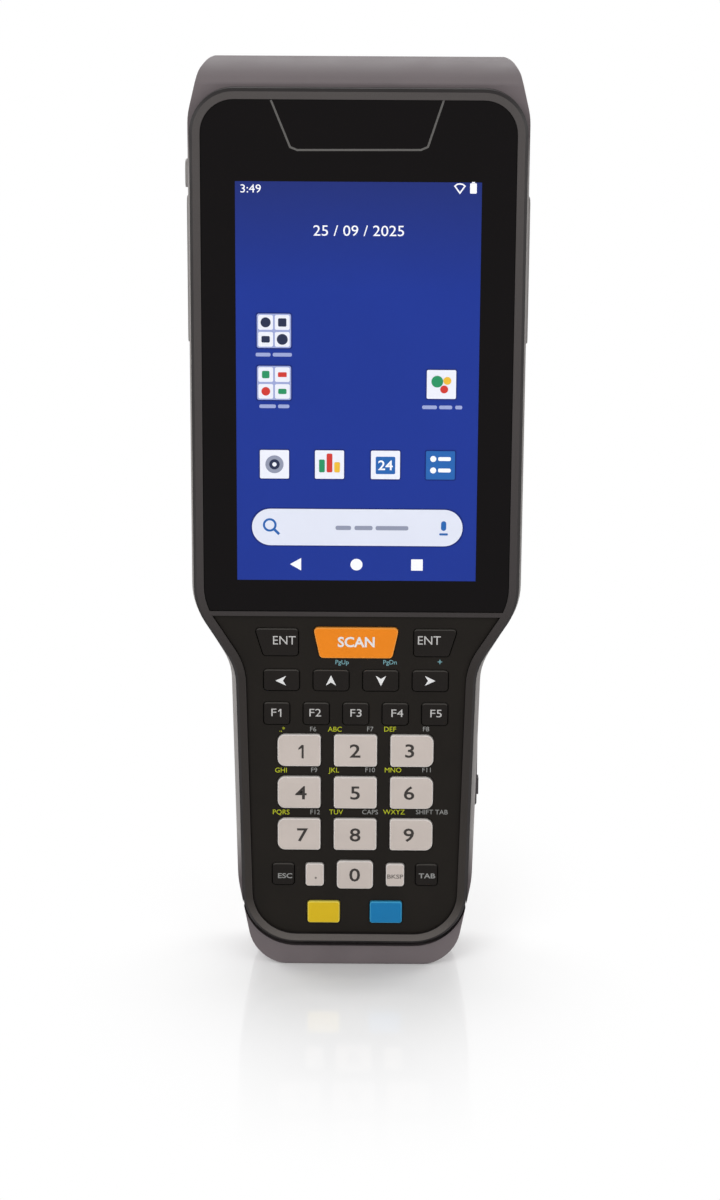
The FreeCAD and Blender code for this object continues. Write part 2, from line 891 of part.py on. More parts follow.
def head_screw_places():
    """Where the screws stand in the head, as formulas for X and Z."""
    return [(x, z) for x in ("-head_screw_x", "head_screw_x")
            for z in ("head_screw_low_z", "head_screw_high_z")]


def grip_screw_places():
    """Where the screws stand in the battery well, as formulas for X and Z."""
    return [(x, z) for x in ("-grip_screw_x", "grip_screw_x")
            for z in ("grip_screw_low_z", "grip_screw_high_z")]


def screw_bores():
    """Clearance holes for the screws, with a deep seat for those in the head."""
    bores = []
    bore = "screw_radius+screw_bore_clearance"
    start = "chassis_back_y-wall"
    for index, (x, z) in enumerate(head_screw_places() + grip_screw_places()):
        seat = "head_screw_seat_y" if index < 4 else "well_floor_y"
        bores.append(cylinder("screw_bore_%d" % index, "y", (x, start, z), bore,
                              seat + "-(" + start + ")+wall"))
    for index, (x, z) in enumerate(head_screw_places()):
        bores.append(cylinder("screw_seat_%d" % index, "y", (x, "head_screw_seat_y", z),
                              "screw_head_radius+2*screw_bore_clearance", "head_back_y"))
    return bores


def door_rebate():
    """The space that the battery door lies in and swings out of."""
    wide = box("rebate_wide", "-(door_half_width+door_gap)",
               DOOR_INNER + "-door_seat_gap", "hinge_z+door_lug_height",
               "2*(door_half_width+door_gap)", "2*door_thickness",
               "door_top_z+door_gap-hinge_z-door_lug_height")
    narrow = box("rebate_narrow", "-(barrel_half_length+door_gap)", HINGE_Y,
                 "hinge_z-barrel_radius-door_swing_gap", "2*(barrel_half_length+door_gap)",
                 "2*barrel_radius", "barrel_radius+door_swing_gap+door_lug_height")
    groove = cylinder("rebate_groove", "x", ("-(barrel_half_length+door_gap)", HINGE_Y, "hinge_z"),
                      "barrel_radius+door_gap", "2*(barrel_half_length+door_gap)")
    pin = cylinder("pin_bore", "x", ("-pin_half_length", HINGE_Y, "hinge_z"),
                   "pin_radius", "2*pin_half_length")
    slot = box("latch_slot", "-(tongue_half_width+latch_gap)",
               "grip_back_y-tongue_set_in-tongue_thickness-latch_gap", "door_top_z",
               "2*(tongue_half_width+latch_gap)", "tongue_thickness+2*latch_gap",
               "latch_travel+latch_gap")
    well = box("battery_well", "-well_half_width", "well_floor_y", "well_bottom_z",
               "2*well_half_width", "head_back_y", "well_top_z-well_bottom_z")
    return [wide, narrow, groove, pin, slot, well]


def sloped_box(name, width, length, height, lift):
    """A box on the slope behind the ridge, centered, at a lift above its face."""
    item = doc.addObject("Part::Box", name)
    item.setExpression("Length", cell(width))
    item.setExpression("Width", cell(length))
    item.setExpression("Height", cell(height))
    run = size("head_back_y") - size("ridge_y")
    fall = size("top_z") - size("nose_back_z")
    turn = FreeCAD.Rotation(FreeCAD.Vector(1, 0, 0), -math.degrees(math.atan2(fall, run)))
    middle = FreeCAD.Vector(0, size("ridge_y") + run / 2, size("top_z") - fall / 2)
    corner = FreeCAD.Vector(-value(width) / 2, -value(length) / 2, value(lift))
    item.Placement = FreeCAD.Placement(middle + turn.multVec(corner), turn)
    return item


def window_cuts():
    """The scan window's seat and the opening behind it."""
    seat = sloped_box("window_seat_cut", "window_width+2*window_gap",
                      "window_length+2*window_gap", "window_recess+window_thickness+wall",
                      "-(window_recess+window_thickness)")
    way = sloped_box("window_way_cut", "window_width-2*window_seat",
                     "window_length-2*window_seat", "3*wall", "-2.5*wall")
    return [seat, way]


def lens_cuts():
    """The camera window's seat and bore, and the bore of the flash lens."""
    seat = "camera_window_thickness+lens_recess"
    return [
        cylinder("camera_seat", "y", ("0", "head_back_y-(" + seat + ")", "camera_z"),
                 "camera_window_radius+lens_gap", seat + "+cutter_margin"),
        cylinder("camera_bore", "y", ("0", "head_back_y-2*wall", "camera_z"),
                 "camera_window_radius-camera_window_seat", "2*wall"),
        cylinder("flash_bore", "y", ("flash_x", "head_back_y-2*wall", "camera_z"),
                 "flash_radius+lens_gap", "3*wall"),
    ]


def speaker_cuts():
    """A row of slots in front of the speaker."""
    count = int(size("speaker_slots"))
    slots = []
    for index in range(count):
        place = "speaker_z-speaker_slot_height/2+%g*speaker_slot_pitch" % (
            index - (count - 1) / 2)
        slots.append(box("speaker_slot_%d" % index, "-speaker_slot_width/2",
                         "head_back_y-2*wall", place, "speaker_slot_width", "3*wall",
                         "speaker_slot_height"))
    return slots


SIDE_KEYS = [
    ("side_trigger_left", -1, "trigger_bottom_z", "trigger_top_z", "trigger_proud"),
    ("side_trigger_right", 1, "trigger_bottom_z", "trigger_top_z", "trigger_proud"),
    ("power_key", -1, "power_key_bottom_z", "power_key_top_z", "power_key_proud"),
]


def side_key_outline(bottom, top, gap):
    """A side key seen from the side, as (Y, Z, radius)."""
    half = size("side_key_height_y") / 2 + gap
    middle = size("side_key_center_y")
    return box_outline(middle - half, size(bottom) - gap, middle + half, size(top) + gap,
                       size("side_key_corner") + gap)


def side_pad(body, outline, side, start, depth):
    """Material on one side, from X = start towards the outside."""
    sign = "" if side > 0 else "-"
    feature = body.newObject("PartDesign::Pad", body.Name + "_pad")
    feature.Profile = add_sketch(body, "YZ_Plane", [edges(outline)], sign + "(" + start + ")")
    feature.Reversed = side < 0
    feature.setExpression("Length", cell(depth))
    return feature


SIDE_INNER = "frame_half_width+side_margin-wall"


def side_key_cuts():
    """Openings in the housing's sides for the triggers and the power key."""
    cuts = []
    for name, side, bottom, top, _ in SIDE_KEYS:
        body = new_body(name + "_opening")
        outline = side_key_outline(bottom, top, size("side_key_gap"))
        side_pad(body, outline, side, SIDE_INNER + "-wall", "3*wall")
        cuts.append(body)
    return cuts


def port_cuts():
    """The recess of the port's cover and the way to the connector."""
    recess = box("port_recess", "cover_face_x-cover_thickness-cover_gap",
                 "port_center_y-cover_half_width-cover_gap",
                 "cover_hinge_z-cover_thickness/2-cover_swing_gap",
                 "2*wall", "2*(cover_half_width+cover_gap)",
                 "cover_top_z+cover_gap-cover_hinge_z+cover_thickness/2+cover_swing_gap")
    way = box("port_way", "cover_face_x-4*wall",
              "port_center_y-port_short/2-port_wall-port_mouth_gap",
              "port_center_z-port_long/2-port_wall-port_mouth_gap",
              "4*wall", "port_short+2*(port_wall+port_mouth_gap)",
              "port_long+2*(port_wall+port_mouth_gap)")
    return [recess, way]


def contact_boxes(prefix, start, height):
    """One box for each charging contact in the bottom end."""
    count = int(size("contact_count"))
    found = []
    for index in range(count):
        x = "%g*contact_pitch-contact_width/2" % (index - (count - 1) / 2)
        found.append(box("%s_%d" % (prefix, index), x, "contact_y-contact_depth_y/2", start,
                         "contact_width", "contact_depth_y", height))
    return found


def make_rear_housing():
    """The shell that holds everything behind the front frame."""
    corner = (housing_side(), size("top_z") - size("crown_rise"),
              size("cavity_corner") + size("wall"))
    inner = inset(housing_outline(crown() + [corner]), size("wall"))
    cavity = common("housing_cavity", [
        plan_slab("cavity_front_view", edges(inner), RIM, "head_back_y-front_y"),
        profile_slab("cavity_side_view", cavity_profile()),
    ])
    seat_outline = [
        (x, z - size("chin_gap") + size("side_gap") if z < size("frame_bottom_z") else z, radius)
        for x, z, radius in inset(frame_outline(), -size("side_gap"))
    ]
    seat = plan_slab("frame_seat", edges(seat_outline), "front_y", "frame_depth")
    hollow = cut("housing_hollow", housing_solid(), fuse("housing_space", [cavity, seat]))
    posted = fuse("housing_posted", [hollow] + housing_bosses())
    inserts = [
        cylinder("insert_hole_%d" % index, "y", (x, "head_back_y-insert_length", "insert_z"),
                 "insert_radius", "insert_length+cutter_margin")
        for index, x in enumerate(("-insert_half_spacing", "insert_half_spacing"))
    ]
    cuts = door_rebate() + window_cuts() + lens_cuts() + speaker_cuts() + side_key_cuts()
    cuts += port_cuts() + screw_bores() + inserts
    cuts += contact_boxes("contact_hole", "-cutter_margin", "2*wall")
    return finish(cut("rear_housing", posted, fuse("housing_cuts", cuts)))


# Battery door, latch and battery


def make_battery_door():
    """The door over the battery well, with its hinge barrel at the lower end."""
    plate = new_body("door_plate")
    outline = box_outline(-size("door_half_width"), size("hinge_z") + size("door_plate_lift"),
                          size("door_half_width"), size("door_top_z"), size("door_corner"))
    pad(plate, [edges(outline)], DOOR_INNER, "door_thickness")
    neck = box("door_neck", "-barrel_half_length", DOOR_INNER, "hinge_z",
               "2*barrel_half_length", "door_thickness", "door_plate_lift+door_corner")
    barrel = cylinder("door_barrel", "x", ("-barrel_half_length", HINGE_Y, "hinge_z"),
                      "barrel_radius", "2*barrel_half_length")
    bore = cylinder("door_bore", "x", ("-2*barrel_half_length", HINGE_Y, "hinge_z"),
                    "pin_radius+pin_clearance", "4*barrel_half_length")
    track = box("latch_track", "-(latch_half_width+latch_gap)",
                "grip_back_y-latch_thickness-latch_gap/2",
                "door_top_z-latch_inset-latch_travel-latch_length-latch_gap",
                "2*(latch_half_width+latch_gap)", "door_thickness",
                "latch_length+latch_travel+2*latch_gap")
    groove = box("tongue_groove", "-(tongue_half_width+latch_gap)",
                 "grip_back_y-tongue_set_in-tongue_thickness-latch_gap/2",
                 "door_top_z-latch_inset-latch_travel-latch_length/2-latch_gap",
                 "2*(tongue_half_width+latch_gap)", "door_thickness",
                 "latch_inset+latch_travel+latch_length/2+2*latch_gap")
    joined = fuse("door_joined", [plate, neck, barrel])
    return finish(cut("battery_door", joined, fuse("door_cuts", [bore, track, groove])))


def make_battery_latch():
    """The slide that locks the door's upper end behind the housing."""
    foot = "door_top_z-latch_inset-latch_travel-latch_length"
    slide = box("latch_slide", "-latch_half_width", "grip_back_y-latch_thickness", foot,
                "2*latch_half_width", "latch_thickness", "latch_length")
    tongue = box("latch_tongue", "-tongue_half_width",
                 "grip_back_y-tongue_set_in-tongue_thickness",
                 foot + "+latch_length/2", "2*tongue_half_width", "tongue_thickness",
                 "latch_length/2+latch_inset+latch_travel-tongue_end_gap")
    link = box("latch_link", "-tongue_half_width",
               "grip_back_y-tongue_set_in-tongue_thickness", foot + "+latch_length/2",
               "2*tongue_half_width", "tongue_set_in+tongue_thickness", "latch_length/2")
    ribs = []
    count = int(size("latch_rib_count"))
    for index in range(count):
        z = foot + "+latch_length/2-latch_rib_width/2+%g*latch_rib_pitch" % (
            index - (count - 1) / 2)
        ribs.append(box("latch_rib_%d" % index, "-latch_half_width+latch_rib_width",
                        "grip_back_y", z, "2*(latch_half_width-latch_rib_width)",
                        "latch_rib_height", "latch_rib_width"))
    return finish(fuse("battery_latch", [slide, tongue, link] + ribs))


def make_battery():
    """The battery pack, the door's hinge pin and the spring contacts."""
    body = new_body("battery_pack")
    outline = box_outline(
        -size("well_half_width") + size("battery_gap"),
        size("well_bottom_z") + size("battery_gap"),
        size("well_half_width") - size("battery_gap"),
        size("well_top_z") - size("battery_gap"), size("battery_corner"))
    pad(body, [edges(outline)], "well_floor_y+battery_lift",
        DOOR_INNER + "-well_floor_y-battery_lift-battery_gap")
    finish(body)
    finish(cylinder("hinge_pin", "x", ("-pin_half_length", HINGE_Y, "hinge_z"),
                    "pin_radius", "2*pin_half_length"))
    count = int(size("battery_contact_count"))
    springs = []
    for index in range(count):
        x = "%g*battery_contact_pitch-battery_contact_width/2" % (index - (count - 1) / 2)
        springs.append(box("battery_spring_%d" % index, x, "well_floor_y",
                           "battery_contact_z", "battery_contact_width", "battery_lift",
                           "battery_contact_height"))
    finish(group("battery_contacts", springs))


# Inside: chassis, seal, boards and modules


def make_chassis():
    """The metal plate that carries the boards, and the seal in front of it."""
    thickness = "chassis_thickness"
    front = "chassis_back_y-chassis_thickness"
    body = new_body("chassis_plate")
    outline = inset(frame_outline(), size("wall") + size("chassis_gap"))
    pad(body, [edges(outline)], front, thickness)
    holes = [
        cylinder("chassis_hole_%d" % index, "y", (x, front + "-cutter_margin", z),
                 "screw_radius+screw_clearance", "3*chassis_thickness")
        for index, (x, z) in enumerate(head_screw_places() + grip_screw_places())
    ]
    finish(cut("chassis", body, fuse("chassis_holes", holes)))
    seal = new_body("housing_seal")
    outer = inset(frame_outline(), size("seal_inset"))
    inner = inset(outer, size("seal_width"))
    depth = front + "-(" + RIM + ")"
    pad(seal, [edges(outer)], RIM, depth)
    pocket(seal, [edges(inner)], RIM, depth)
    finish(seal)


def make_screws():
    """The housing's screws, all alike but for their length."""
    screws = []
    tip = "chassis_back_y-screw_thread_depth"
    for index, (x, z) in enumerate(head_screw_places() + grip_screw_places()):
        seat = "head_screw_seat_y" if index < 4 else "well_floor_y"
        shank = cylinder("screw_shank_%d" % index, "y", (x, tip, z), "screw_radius",
                         seat + "-(" + tip + ")")
        head = cylinder("screw_head_%d" % index, "y", (x, seat, z), "screw_head_radius",
                        "screw_head_height")
        socket = cylinder("screw_socket_%d" % index, "y",
                          (x, seat + "+screw_head_height-screw_socket_depth", z),
                          "screw_socket_radius", "screw_head_height")
        solid = fuse("screw_solid_%d" % index, [shank, head])
        screws.append(cut("screw_%d" % index, solid, socket))
    return finish(group("housing_screws", screws))


def make_inserts():
    """Threaded bushes in the back of the head, for a handle or a holder."""
    bushes = []
    for index, x in enumerate(("-insert_half_spacing", "insert_half_spacing")):
        start = (x, "head_back_y-insert_length", "insert_z")
        bush = cylinder("bush_%d" % index, "y", start, "insert_radius",
                        "insert_length-lens_recess")
        bore = cylinder("bush_bore_%d" % index, "y", start, "insert_bore_radius",
                        "insert_length+cutter_margin")
        bushes.append(cut("threaded_bush_%d" % index, bush, bore))
    return finish(group("threaded_inserts", bushes))


def make_boards():
    """The main board and the parts that are fixed near it."""
    finish(box("main_board", "-main_board_half_width", "main_board_front_y",
               "main_board_bottom_z", "2*main_board_half_width", "board_thickness",
               "main_board_top_z-main_board_bottom_z"))
    finish(sloped_box("scan_window", "window_width", "window_length", "window_thickness",
                      "-(window_recess+window_thickness)"))
    finish(sloped_box("scan_engine", "engine_width", "engine_length", "engine_depth",
                      "-(window_recess+window_thickness+wall+engine_gap+engine_depth)"))
    finish(cylinder("camera_window", "y",
                    ("0", "head_back_y-lens_recess-camera_window_thickness", "camera_z"),
                    "camera_window_radius", "camera_window_thickness"))
    finish(cylinder("flash_lens", "y", ("flash_x", "head_back_y-wall", "camera_z"),
                    "flash_radius", "wall-lens_recess"))
    back = "head_back_y-wall-module_gap"
    finish(box("camera_module", "-camera_body/2", back + "-camera_depth",
               "camera_z-camera_body/2", "camera_body", "camera_depth", "camera_body"))
    finish(box("speaker", "-speaker_width/2", back + "-speaker_depth",
               "speaker_z-speaker_height/2", "speaker_width", "speaker_depth",
               "speaker_height"))
    finish(group("charging_contacts", contact_boxes("contact", "contact_recess",
                                                    "wall-contact_recess")))


def make_side_keys():
    """The two side triggers, the power key and the switches behind them."""
    switches = []
    for name, side, bottom, top, proud in SIDE_KEYS:
        body = new_body(name)
        outline = side_key_outline(bottom, top, 0.0)
        flange = side_key_outline(bottom, top, size("side_flange"))
        inner = SIDE_INNER + "-flange_gap-side_flange_thickness"
        side_pad(body, flange, side, inner, "side_flange_thickness")
        side_pad(body, outline, side, inner,
                 "side_flange_thickness+flange_gap+wall+" + proud)
        finish(body)
        face = inner + "-side_key_travel-switch_gap"
        start = face + "-switch_depth" if side > 0 else "-(" + face + ")"
        middle = "(%s+%s)/2-switch_length/2" % (bottom, top)
        switches.append(box(name + "_switch", start, "side_key_center_y-switch_length/2",
                            middle, "switch_depth", "switch_length", "switch_length"))
    return finish(group("side_switches", switches))


def make_port():
    """The connector in the grip's right side and its rubber cover."""
    mouth = "cover_face_x-cover_thickness-cover_gap"
    shell = box("port_shell", mouth + "-port_depth", "port_center_y-port_short/2-port_wall",
                "port_center_z-port_long/2-port_wall", "port_depth",
                "port_short+2*port_wall", "port_long+2*port_wall")
    hollow = box("port_hollow", mouth + "-port_depth+port_wall",
                 "port_center_y-port_short/2", "port_center_z-port_long/2", "port_depth",
                 "port_short", "port_long")
    tongue = box("port_tongue", mouth + "-port_depth+port_wall/2",
                 "port_center_y-port_wall/2", "port_center_z-port_long/2+port_short/2",
                 "port_depth-2*port_wall", "port_wall", "port_long-port_short")
    finish(fuse("port_connector", [cut("port_case", shell, hollow), tongue]))
    plate = box("cover_plate", "cover_face_x-cover_thickness",
                "port_center_y-cover_half_width", "cover_hinge_z", "cover_thickness",
                "2*cover_half_width", "cover_top_z-cover_hinge_z")
    roll = cylinder("cover_roll", "y",
                    ("cover_face_x-cover_thickness/2", "port_center_y-cover_half_width",
                     "cover_hinge_z"),
                    "cover_thickness/2", "2*cover_half_width")
    tab = box("cover_tab", "cover_face_x", "port_center_y-cover_half_width/2",
              "cover_tab_z-cover_tab_length/2", "cover_tab_height", "cover_half_width",
              "cover_tab_length")
    finish(fuse("port_cover", [plate, roll, tab]))


def check_and_write():
    """Stop at any failed object, then write each sub-part to its own file."""
    doc.recompute()
    for item in doc.Objects:
        if "Invalid" in item.State or "Error" in item.State:
            raise RuntimeError("%s failed: %s" % (item.Name, item.State))
    for piece in pieces:
        shape = piece.Shape
        if shape.isNull() or not shape.isValid() or not shape.Solids:
            raise RuntimeError("%s has no valid shape" % piece.Label)
    for piece in pieces:
        piece.Shape.exportStep(os.path.join("parts", piece.Label + ".step"))
        print(piece.Label, len(piece.Shape.Solids), round(piece.Shape.Volume, 1))


make_front_frame()
make_touch_panel()
make_display_gasket()
make_display_module()
make_keypad_panel()
for key_name, key_outline, key_proud in KEYS:
    make_key(key_name, key_outline, key_proud)
make_keypad_stack()
make_rear_housing()
make_battery_door()
make_battery_latch()
make_battery()
make_chassis()
make_screws()
make_inserts()
make_boards()
make_side_keys()
make_port()
check_and_write()
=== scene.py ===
import json
import math

import bmesh
import bpy
from mathutils import Matrix, Vector


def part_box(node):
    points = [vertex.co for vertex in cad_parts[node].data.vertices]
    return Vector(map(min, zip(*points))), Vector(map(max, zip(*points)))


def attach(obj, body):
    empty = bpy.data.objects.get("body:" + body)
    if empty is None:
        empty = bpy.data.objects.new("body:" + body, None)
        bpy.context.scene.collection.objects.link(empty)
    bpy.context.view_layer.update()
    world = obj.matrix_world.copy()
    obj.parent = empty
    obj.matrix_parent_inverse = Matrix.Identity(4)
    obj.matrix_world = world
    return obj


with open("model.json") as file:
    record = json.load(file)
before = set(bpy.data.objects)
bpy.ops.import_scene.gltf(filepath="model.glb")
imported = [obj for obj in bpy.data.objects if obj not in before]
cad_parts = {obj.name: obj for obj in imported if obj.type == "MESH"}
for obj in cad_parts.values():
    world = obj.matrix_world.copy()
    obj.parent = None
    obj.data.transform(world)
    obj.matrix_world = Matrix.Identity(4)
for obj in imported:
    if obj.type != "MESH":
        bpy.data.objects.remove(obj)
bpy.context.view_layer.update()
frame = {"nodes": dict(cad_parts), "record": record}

# Portable barcode data terminal, in metres. X runs to the right, Y to the back and Z up.
# Lengths times MM are typed in millimetres, and so are the points of all flat marks.
MM = 0.001
scene = bpy.context.scene


def link(thing):
    """Puts a new object into the scene."""
    scene.collection.objects.link(thing)
    return thing


# Camera: fitted to the four corners of the lit display
def add_camera():
    data = bpy.data.cameras.new("camera")
    data.lens = 83.16
    data.sensor_width = 36.0
    data.dof.use_dof = False
    camera = link(bpy.data.objects.new("camera", data))
    target = Vector((0.87, -16.8, 92.3)) * MM
    distance = 648.5 * MM
    elevation = math.radians(15.06)
    azimuth = math.radians(0.293)
    roll = math.radians(0.316)
    back = Vector((
        math.sin(azimuth) * math.cos(elevation),
        -math.cos(azimuth) * math.cos(elevation),
        math.sin(elevation)))
    turn = back.to_track_quat("Z", "Y").to_matrix().to_4x4()
    place = Matrix.Translation(target + back * distance)
    camera.matrix_world = place @ turn @ Matrix.Rotation(roll, 4, "Z")
    scene.camera = camera


add_camera()

# Materials
# The mix node's colour sockets share their names with its others, so they go by number
MIX_FIRST_COLOR = 6
MIX_SECOND_COLOR = 7
MIX_COLOR_RESULT = 2
# Noise seldom leaves this range
NOISE_LOW = 0.3
NOISE_HIGH = 0.7


def linear(red, green, blue):
    """A colour as the screen shows it, 0 to 255, turned into the shader's scale."""
    return tuple((channel / 255.0) ** 2.2 for channel in (red, green, blue)) + (1.0,)


def dimmed(color, share):
    """A colour made darker or lighter."""
    return tuple(min(channel * share, 1.0) for channel in color[:3]) + (1.0,)


class Nodes:
    """A node tree, whose nodes are made with what goes into their sockets."""

    def __init__(self, tree):
        self.tree = tree

    def feed(self, value, socket):
        """Gives a socket a plain value or another node's result."""
        if isinstance(value, bpy.types.NodeSocket):
            self.tree.links.new(value, socket)
        else:
            socket.default_value = value

    def fill(self, node, sockets):
        """Feeds sockets by their names, which have an underscore for each blank."""
        for name, value in sockets.items():
            self.feed(value, node.inputs[name.replace("_", " ")])

    def node(self, kind, **sockets):
        """A new node."""
        made = self.tree.nodes.new(kind)
        self.fill(made, sockets)
        return made

    def mapped(self, source, start, end, low=0.0, high=1.0):
        """A factor that goes from low to high as the source goes from start to end."""
        made = self.node(
            "ShaderNodeMapRange", Value=source, From_Min=start, From_Max=end, To_Min=low,
            To_Max=high)
        return made.outputs["Result"]

    def combined(self, operation, first, second):
        """Two factors put together by an operation such as MULTIPLY or MAXIMUM."""
        made = self.node("ShaderNodeMath")
        made.operation = operation
        for socket, factor in zip(made.inputs, (first, second)):
            self.feed(factor, socket)
        return made.outputs["Value"]

    def looked_at(self):
        """1 for a ray from the camera, off a gloss or through glass, and 0 for other light."""
        path = self.node("ShaderNodeLightPath")
        seen = path.outputs["Is Camera Ray"]
        for name in ("Is Glossy Ray", "Is Transmission Ray"):
            seen = self.combined("MAXIMUM", seen, path.outputs[name])
        return seen


class Shader(Nodes):
    """A new material's nodes."""

    def __init__(self, name):
        self.material = bpy.data.materials.new(name)
        self.material.use_nodes = True
        super().__init__(self.material.node_tree)
        self.surface = self.tree.nodes["Principled BSDF"]
        self.place = self.node("ShaderNodeTexCoord").outputs["Object"]

    def shade(self, **sockets):
        """Feeds the surface shader's own sockets."""
        self.fill(self.surface, sockets)

    def stretched(self, along):
        """The surface's own coordinates, stretched along each axis."""
        return self.node("ShaderNodeMapping", Vector=self.place, Scale=along).outputs["Vector"]

    def noise(self, grain, detail=2.0, along=(1.0, 1.0, 1.0)):
        """Noise whose spots are about one grain wide."""
        made = self.node(
            "ShaderNodeTexNoise", Vector=self.stretched(along), Scale=1.0 / grain, Detail=detail)
        return made.outputs["Fac"]

    def spread(self, noise, low, high):
        """Noise spread from low to high."""
        return self.mapped(noise, NOISE_LOW, NOISE_HIGH, low, high)

    def mixed(self, factor, first, second):
        """Two colours mixed by a factor."""
        made = self.node("ShaderNodeMix")
        made.data_type = "RGBA"
        self.feed(factor, made.inputs["Factor"])
        self.feed(first, made.inputs[MIX_FIRST_COLOR])
        self.feed(second, made.inputs[MIX_SECOND_COLOR])
        return made.outputs[MIX_COLOR_RESULT]

    def leaning(self, axis, start, end):
        """A factor from 0 to 1, as the normal's share along an axis goes from start to end."""
        normal = self.node("ShaderNodeNewGeometry").outputs["Normal"]
        split = self.node("ShaderNodeSeparateXYZ", Vector=normal)
        return self.mapped(split.outputs[axis], start, end)

    def rising(self, start, end):
        """A factor from 0 to 1, as the place's height goes from start to end."""
        split = self.node("ShaderNodeSeparateXYZ", Vector=self.place)
        return self.mapped(split.outputs["Z"], start, end)

    def bumps(self, source, depth):
        """Bumps of that depth."""
        bump = self.node("ShaderNodeBump", Height=source, Distance=depth, Strength=1.0)
        self.shade(Normal=bump.outputs["Normal"])


# Which way a painted highlight on a rim faces: the axis, and the normal's share on it where
# the highlight starts and where it is full
FRONT_BEVELS = ("Y", -0.99, -0.85)
FRONT_FACES = ("Y", -0.85, -0.97)
UPPER_BEVELS = ("Z", 0.25, 0.7)


def moulded(name, color, rough, gloss, grain=0.25 * MM, depth=0.012 * MM, change=0.12,
            painted_highlight=None, highlight_faces=FRONT_BEVELS, highlight_heights=()):
    """Moulded plastic or rubber: a fine grain, uneven sheen, slight stains and maybe a painted
    highlight on a rim.
    """
    stain_size = 9.0 * MM
    sheen_change = 0.05
    made = Shader(name)
    stains = made.noise(stain_size, detail=4.0)
    fine = made.noise(grain, detail=3.0)
    darker = dimmed(color, 1.0 - change)
    blotches = made.mixed(made.spread(stains, 0.0, 1.0), darker, dimmed(color, 1.0 + change))
    shades = made.mixed(made.spread(fine, 0.0, 0.35), blotches, darker)
    # A paler colour mixed onto faces turned one way, within the given heights: a painted highlight
    if painted_highlight:
        painted_highlight_mask = made.leaning(*highlight_faces)
        for start, end in highlight_heights:
            painted_highlight_mask = made.combined("MULTIPLY", painted_highlight_mask, made.rising(start, end))
        shades = made.mixed(painted_highlight_mask, shades, painted_highlight)
    made.shade(
        Base_Color=shades, Specular_IOR_Level=gloss,
        Roughness=made.spread(stains, rough - sheen_change, rough + sheen_change))
    made.bumps(fine, depth)
    return made.material


def key_cap(name, color, painted_highlight):
    """A satin key cap whose bevels carry a painted highlight, paler than its face."""
    return moulded(
        name, color, rough=0.42, gloss=0.25, grain=0.15 * MM, depth=0.005 * MM, change=0.04,
        painted_highlight=painted_highlight)


def printed(name, color):
    """Ink or a moulded-in mark, slightly uneven."""
    return moulded(
        name, color, rough=0.5, gloss=0.2, grain=0.12 * MM, depth=0.003 * MM, change=0.05)


def metal(name, color, rough, along=(1.0, 1.0, 1.0)):
    """Metal with fine marks, which run across an axis that is stretched."""
    mark_size = 0.3 * MM
    sheen_change = 0.08
    made = Shader(name)
    marks = made.noise(mark_size, 3.0, along)
    shades = made.mixed(made.spread(marks, 0.0, 1.0), dimmed(color, 0.85), dimmed(color, 1.1))
    made.shade(
        Base_Color=shades, Metallic=1.0,
        Roughness=made.spread(marks, rough - sheen_change, rough + sheen_change))
    made.bumps(marks, 0.004 * MM)
    return made.material


def polished(name, color, gloss, rough=0.06):
    """Glass or glossy plastic: smooth, with faint smears."""
    smear_size = 16.0 * MM
    made = Shader(name)
    smear = made.noise(smear_size, 4.0, (1.0, 1.0, 2.5))
    tint = made.mixed(made.spread(smear, 0.0, 1.0), dimmed(color, 0.9), dimmed(color, 1.1))
    made.shade(
        Base_Color=tint, Roughness=made.spread(smear, rough, rough + 0.05),
        Specular_IOR_Level=gloss)
    return made.material


def frame_rubber():
    """The ring: painted shade makes its bevels darker than its face, and painted light and shade
    change its tone with the height.
    """
    top = 210.0 * MM
    # Painted light and shade by height: palest at the bottom end, darkest from 18 to 73 mm, paler
    # again towards the top
    painted_light_by_height = (
        (0.035, linear(100, 95, 92)), (0.085, linear(52, 48, 45)),
        (0.35, linear(46, 42, 40)), (0.45, linear(62, 58, 58)), (0.9, linear(78, 74, 73)))
    made = Shader("frame_rubber")
    ramp = made.node("ShaderNodeValToRGB", Fac=made.rising(0.0, top))
    elements = ramp.color_ramp.elements
    for element, (position, color) in ((elements[0], painted_light_by_height[0]), (elements[1], painted_light_by_height[-1])):
        element.position = position
        element.color = color
    for position, color in painted_light_by_height[1:-1]:
        elements.new(position).color = color
    fine = made.noise(0.2 * MM, 3.0)
    face_with_painted_light = made.mixed(made.spread(fine, 0.0, 0.3), ramp.outputs["Color"], linear(40, 37, 36))
    # Faces turned away from the front, the bevels, get a darker colour: painted shade
    made.shade(
        Base_Color=made.mixed(made.leaning("Y", -0.8, -0.95), linear(38, 35, 35), face_with_painted_light),
        Roughness=made.spread(made.noise(7.0 * MM), 0.5, 0.62),
        Specular_IOR_Level=0.2)
    made.bumps(fine, 0.01 * MM)
    return made.material


def circuit_board():
    """Green board with pale tracks."""
    track_spacing = 1.0 * MM
    made = Shader("board_green")
    tracks = made.node(
        "ShaderNodeTexBrick", Vector=made.place, Scale=1.0 / track_spacing, Mortar_Size=0.06,
        Color1=linear(20, 84, 48), Color2=linear(16, 70, 42), Mortar=linear(60, 128, 78))
    made.shade(
        Base_Color=tracks.outputs["Color"],
        Roughness=made.spread(made.noise(4.0 * MM), 0.25, 0.4))
    made.bumps(made.noise(1.0 * MM), 0.02 * MM)
    return made.material


